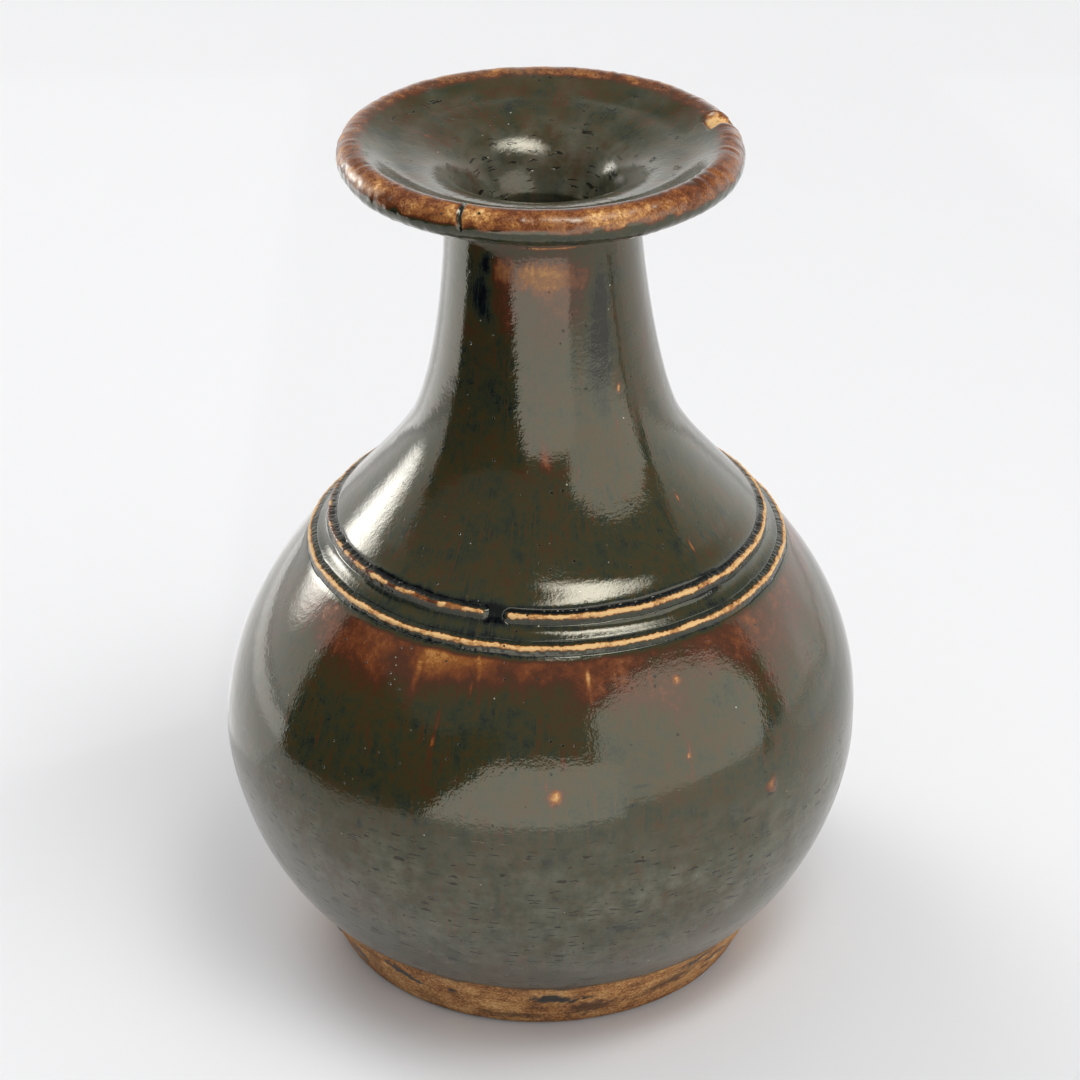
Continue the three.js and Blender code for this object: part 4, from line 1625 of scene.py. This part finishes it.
def open_ring(piece: bpy.types.Object, bearing: float, half_degrees: float) -> None:
    """Cuts a gap into a closed ring and closes its two ends.

    Args:
        piece: Ring to cut.
        bearing: Middle of the gap.
        half_degrees: Half of the gap.
    """
    work = bmesh.new()
    work.from_mesh(piece.data)
    angles = [math.degrees(math.atan2(v.co.x, -v.co.y)) for v in work.verts]
    gone = [v for v, angle in zip(work.verts, angles) if abs(angle - bearing) < half_degrees]
    bmesh.ops.delete(work, geom=gone, context="VERTS")
    open_edges = [edge for edge in work.edges if edge.is_boundary]
    bmesh.ops.holes_fill(work, edges=open_edges, sides=0)
    work.to_mesh(piece.data)
    work.free()


@dataclass(frozen=True)
class Panel:
    """A softbox of the studio, placed round the vase and facing it.

    It can be hidden from reflections, or light nothing and show in reflections alone.
    """

    name: str
    azimuth: float
    elevation: float
    distance: float
    width: float
    height: float
    radiance: float
    shows: bool = True
    lights: bool = True
    softness: float = 0.9

    AIM = Vector((0, 0, 0.15))
    MIDDLE = (0.5, 0.5, 0)
    EDGE = 0.5

    def matrix(self) -> Matrix:
        """Place of the panel, with its face towards the vase."""
        azimuth, elevation = math.radians(self.azimuth), math.radians(self.elevation)
        out = Vector((math.sin(azimuth) * math.cos(elevation), -math.cos(azimuth) * math.cos(elevation),
                      math.sin(elevation)))
        turn = out.to_track_quat("Z", "Y").to_matrix().to_4x4()
        return Matrix.Translation(self.AIM + out * self.distance) @ turn

    def lamp(self) -> None:
        """Adds it as a softbox that is brightest in its middle."""
        lamp = bpy.data.lights.new(self.name, "AREA")
        lamp.shape = "ELLIPSE"
        lamp.size, lamp.size_y = self.width, self.height
        lamp.energy = self.radiance * math.pi * (self.width * self.height * math.pi / 4)
        nodes = Nodes.emptied(lamp)
        place = nodes.put("ShaderNodeNewGeometry").outputs["Parametric"]
        off = nodes.vector("SUBTRACT", place, self.MIDDLE)
        far = nodes.put("ShaderNodeVectorMath", {0: off}, operation="LENGTH").outputs["Value"]
        fade = nodes.graded(far, (self.EDGE * (1 - self.softness), self.EDGE), (1.0, 0.0),
                            interpolation_type="SMOOTHSTEP")
        nodes.finish(nodes.put("ShaderNodeEmission", {"Strength": fade}), "ShaderNodeOutputLight")
        item = bpy.data.objects.new(self.name, lamp)
        item.matrix_world = self.matrix()
        item.visible_camera = False
        item.visible_glossy = self.shows
        item.visible_diffuse = self.lights
        bpy.context.scene.collection.objects.link(item)


@dataclass(frozen=True)
class Card:
    """A lit card on an upright plane, outlined by steps to the right of its middle and heights."""

    name: str
    azimuth: float
    distance: float
    radiance: float
    outline: tuple[Point, ...]
    lights: bool = True

    def stand(self) -> bpy.types.Object:
        """Stands the card up in the studio."""
        azimuth = math.radians(self.azimuth)
        out = Vector((math.sin(azimuth), -math.cos(azimuth), 0)) * self.distance
        side = Vector((math.cos(azimuth), math.sin(azimuth), 0))
        corners = [out + side * across + Vector((0, 0, height)) for across, height in self.outline]
        item = flat_item(self.name, corners, glowing(self.name, self.radiance))
        item.visible_diffuse = self.lights
        return item


@dataclass(frozen=True)
class Board:
    """A brightly lit part of the table, seen only in reflections and outlined by X and Y."""

    name: str
    radiance: float
    outline: tuple[Point, ...]

    RISE = 0.002

    def lay(self) -> bpy.types.Object:
        """Lays the board on the table."""
        corners = [Vector((x, y, self.RISE)) for x, y in self.outline]
        return only_reflected(flat_item(self.name, corners, glowing(self.name, self.radiance)))


def add_item(name: str, points: list[Vector], faces: list[tuple[int, ...]],
             finish: bpy.types.Material) -> bpy.types.Object:
    """Adds an item to the studio, out of the camera's sight.

    Args:
        name: Name of the item.
        points: Its points in metres.
        faces: Places of each face's points in the list.
        finish: Material.

    Returns:
        The item.
    """
    mesh = bpy.data.meshes.new(name)
    mesh.from_pydata([tuple(point) for point in points], [], faces)
    mesh.materials.append(finish)
    item = bpy.data.objects.new(name, mesh)
    item.visible_camera = False
    bpy.context.scene.collection.objects.link(item)
    return item


def flat_item(name: str, corners: list[Vector], finish: bpy.types.Material) -> bpy.types.Object:
    """Adds one face to the studio, with its corners in order."""
    return add_item(name, corners, [tuple(range(len(corners)))], finish)


def only_reflected(item: bpy.types.Object) -> bpy.types.Object:
    """Hides an item from everything but reflections, and returns it."""
    item.visible_diffuse = False
    item.visible_shadow = False
    return item


def glowing(item_name: str, radiance: float, top: float | None = None) -> bpy.types.Material:
    """Material of a card that shines.

    Args:
        item_name: Name of the card.
        radiance: Brightness, where 1 is white.
        top: Brightness high up, where the card fades upwards.

    Returns:
        The material.
    """
    made, nodes = new_material(f"lit_{item_name}")
    strength = radiance
    if top is not None:
        height = nodes.put("ShaderNodeSeparateXYZ", {0: nodes.place()}).outputs["Z"]
        strength = nodes.graded(height, FADE_HEIGHTS, (radiance, top))
    nodes.finish(nodes.put("ShaderNodeEmission", {"Color": colour("#FFFFFF"), "Strength": strength}))
    return made


class Studio:
    """Pale floor, soft lights, cards and the camera of the photograph."""

    LIGHTS = (
        Panel("key_softbox", 42, 66, 1.55, 1.60, 0.66, 14.4),
        Panel("left_softbox", -120, 18, 0.59, 0.30, 0.42, 14.0, lights=False),
        Panel("top_softbox", -125, 58, 1.60, 1.20, 1.20, 7.0, shows=False),
    )
    CARDS = (
        Card("front_card", 0, 0.61, 2.35, ((-0.52, 0.0), (0.30, 0.0), (0.30, 0.215), (0.17, 0.28),
                                          (-0.17, 0.274)), lights=False),
        Card("right_card", 50, 1.5, 2.05, ((-0.93, 0.0), (1.10, 0.0), (1.10, 0.25), (1.06, 0.62),
                                          (0.75, 0.96), (0.0, 1.22), (-0.43, 1.27), (-0.93, 1.20))),
    )
    BOARDS = (
        Board("near_left_board", 1.25, ((-0.48, 0.04), (-0.25, 0.04), (-0.12, 0.12), (-0.12, 0.75),
                                        (-0.30, 0.75), (-0.40, 0.35))),
        Board("far_left_board", 2.1, ((-0.92, 0.02), (-0.48, 0.04), (-0.40, 0.35), (-0.30, 0.75),
                                      (-0.75, 0.75))),
        Board("right_board", 1.15, ((0.42, 0.05), (0.95, 0.05), (0.75, 0.75), (0.20, 0.75))),
    )
    FLAGS = {
        "left_flag": ((-0.46, -0.50, 0), (-0.46, 0.03, 0), (-0.46, 0.03, 0.35), (-0.46, -0.50, 0.35)),
        "front_flag": ((-0.41, -0.50, 0), (-0.46, -0.50, 0), (-0.46, -0.50, 0.35),
                       (-0.144, -0.50, 0.35), (-0.144, -0.50, 0.263)),
        "right_flag": ((0.66, -0.148, 0), (0.66, -0.118, 0), (0.66, -0.030, 0.32),
                       (0.66, -0.060, 0.32)),
    }
    FLOOR_COLOUR = "#DDDDDE"
    FLOOR_HALF = 4.0
    FLOOR_ROUGHNESS, FLOOR_IOR = 0.55, 1.4
    WALL_RADIANCE = 1.40
    WALL_TOP = 0.35
    WALL_DISTANCE = 1.5
    WALL_HEIGHT = 1.45
    WALL_BEARINGS = (93.0, 265.0)
    WALL_STEPS = 24
    ROOM_COLOUR = "#F6F6F8"
    ROOM_FILL = 0.54
    ROOM_SHINE = 0.20
    ROOM_WHITE = 1.0
    CAMERA_PLACE = (0.0, -0.94215, 0.6597)
    CAMERA_PITCH = 61.025
    LENS = 114.8
    SENSOR = 36.0

    def floor(self) -> bpy.types.Object:
        """Adds the pale floor."""
        made, nodes = new_material("pale_matt_board")
        nodes.finish(nodes.put("ShaderNodeBsdfPrincipled", {
            "Base Color": colour(self.FLOOR_COLOUR), "Roughness": self.FLOOR_ROUGHNESS,
            "IOR": self.FLOOR_IOR}))
        half = self.FLOOR_HALF
        square = ((-half, -half), (half, -half), (half, half), (-half, half))
        corners = [Vector((x, y, 0)) for x, y in square]
        item = flat_item("floor", corners, made)
        item.visible_camera = True
        return item

    def wall(self) -> bpy.types.Object:
        """Adds the white sweep behind and to the left of the vase, out of the camera's view."""
        angles = np.radians(np.linspace(*self.WALL_BEARINGS, self.WALL_STEPS + 1))
        rim = [(self.WALL_DISTANCE * math.sin(a), -self.WALL_DISTANCE * math.cos(a)) for a in angles]
        points = [Vector((x, y, z)) for x, y in rim for z in (0.0, self.WALL_HEIGHT)]
        faces = [(2 * i, 2 * i + 2, 2 * i + 3, 2 * i + 1) for i in range(self.WALL_STEPS)]
        return add_item("white_sweep", points, faces,
                        glowing("white_sweep", self.WALL_RADIANCE, self.WALL_TOP))

    def flags(self) -> list[bpy.types.Object]:
        """Adds the black flags that only reflections see."""
        made, nodes = new_material("black_velvet")
        nodes.finish(nodes.put("ShaderNodeBsdfDiffuse", {"Color": colour("#050505")}))
        return [only_reflected(flat_item(name, [Vector(corner) for corner in outline], made))
                for name, outline in self.FLAGS.items()]

    def world(self) -> None:
        """Sets the room: dim to reflections, softly filled for matt surfaces, white to the camera."""
        room = bpy.data.worlds.new("studio_room")
        bpy.context.scene.world = room
        nodes = Nodes.emptied(room)
        path = nodes.put("ShaderNodeLightPath").outputs
        fill, shine, white = [
            nodes.put("ShaderNodeBackground", {"Color": colour(self.ROOM_COLOUR), "Strength": strength})
            for strength in (self.ROOM_FILL, self.ROOM_SHINE, self.ROOM_WHITE)]
        mixed = nodes.put("ShaderNodeMixShader", {0: path["Is Glossy Ray"], 1: fill.outputs[0],
                                                  2: shine.outputs[0]})
        mixed = nodes.put("ShaderNodeMixShader", {0: path["Is Camera Ray"], 1: mixed.outputs[0],
                                                  2: white.outputs[0]})
        nodes.finish(mixed, "ShaderNodeOutputWorld")

    def camera(self) -> None:
        """Adds the camera at the photograph's viewing angle."""
        lens = bpy.data.cameras.new("camera")
        lens.lens, lens.sensor_width = self.LENS, self.SENSOR
        item = bpy.data.objects.new("camera", lens)
        item.location = self.CAMERA_PLACE
        item.rotation_euler = (math.radians(self.CAMERA_PITCH), 0, 0)
        bpy.context.scene.collection.objects.link(item)
        bpy.context.scene.camera = item

    def build(self) -> None:
        """Builds the whole studio."""
        bpy.context.scene.view_settings.view_transform = "Standard"
        self.floor()
        self.wall()
        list(self.flags())
        [card.stand() for card in self.CARDS]
        [board.lay() for board in self.BOARDS]
        for panel in self.LIGHTS:
            panel.lamp()
        self.world()
        self.camera()


def main() -> None:
    """Makes the vase and its studio."""
    logging.basicConfig(level=logging.INFO, format="%(name)s: %(message)s")
    Potter().make()
    Studio().build()
    bpy.context.view_layer.update()


if __name__ == "__main__":
    main()
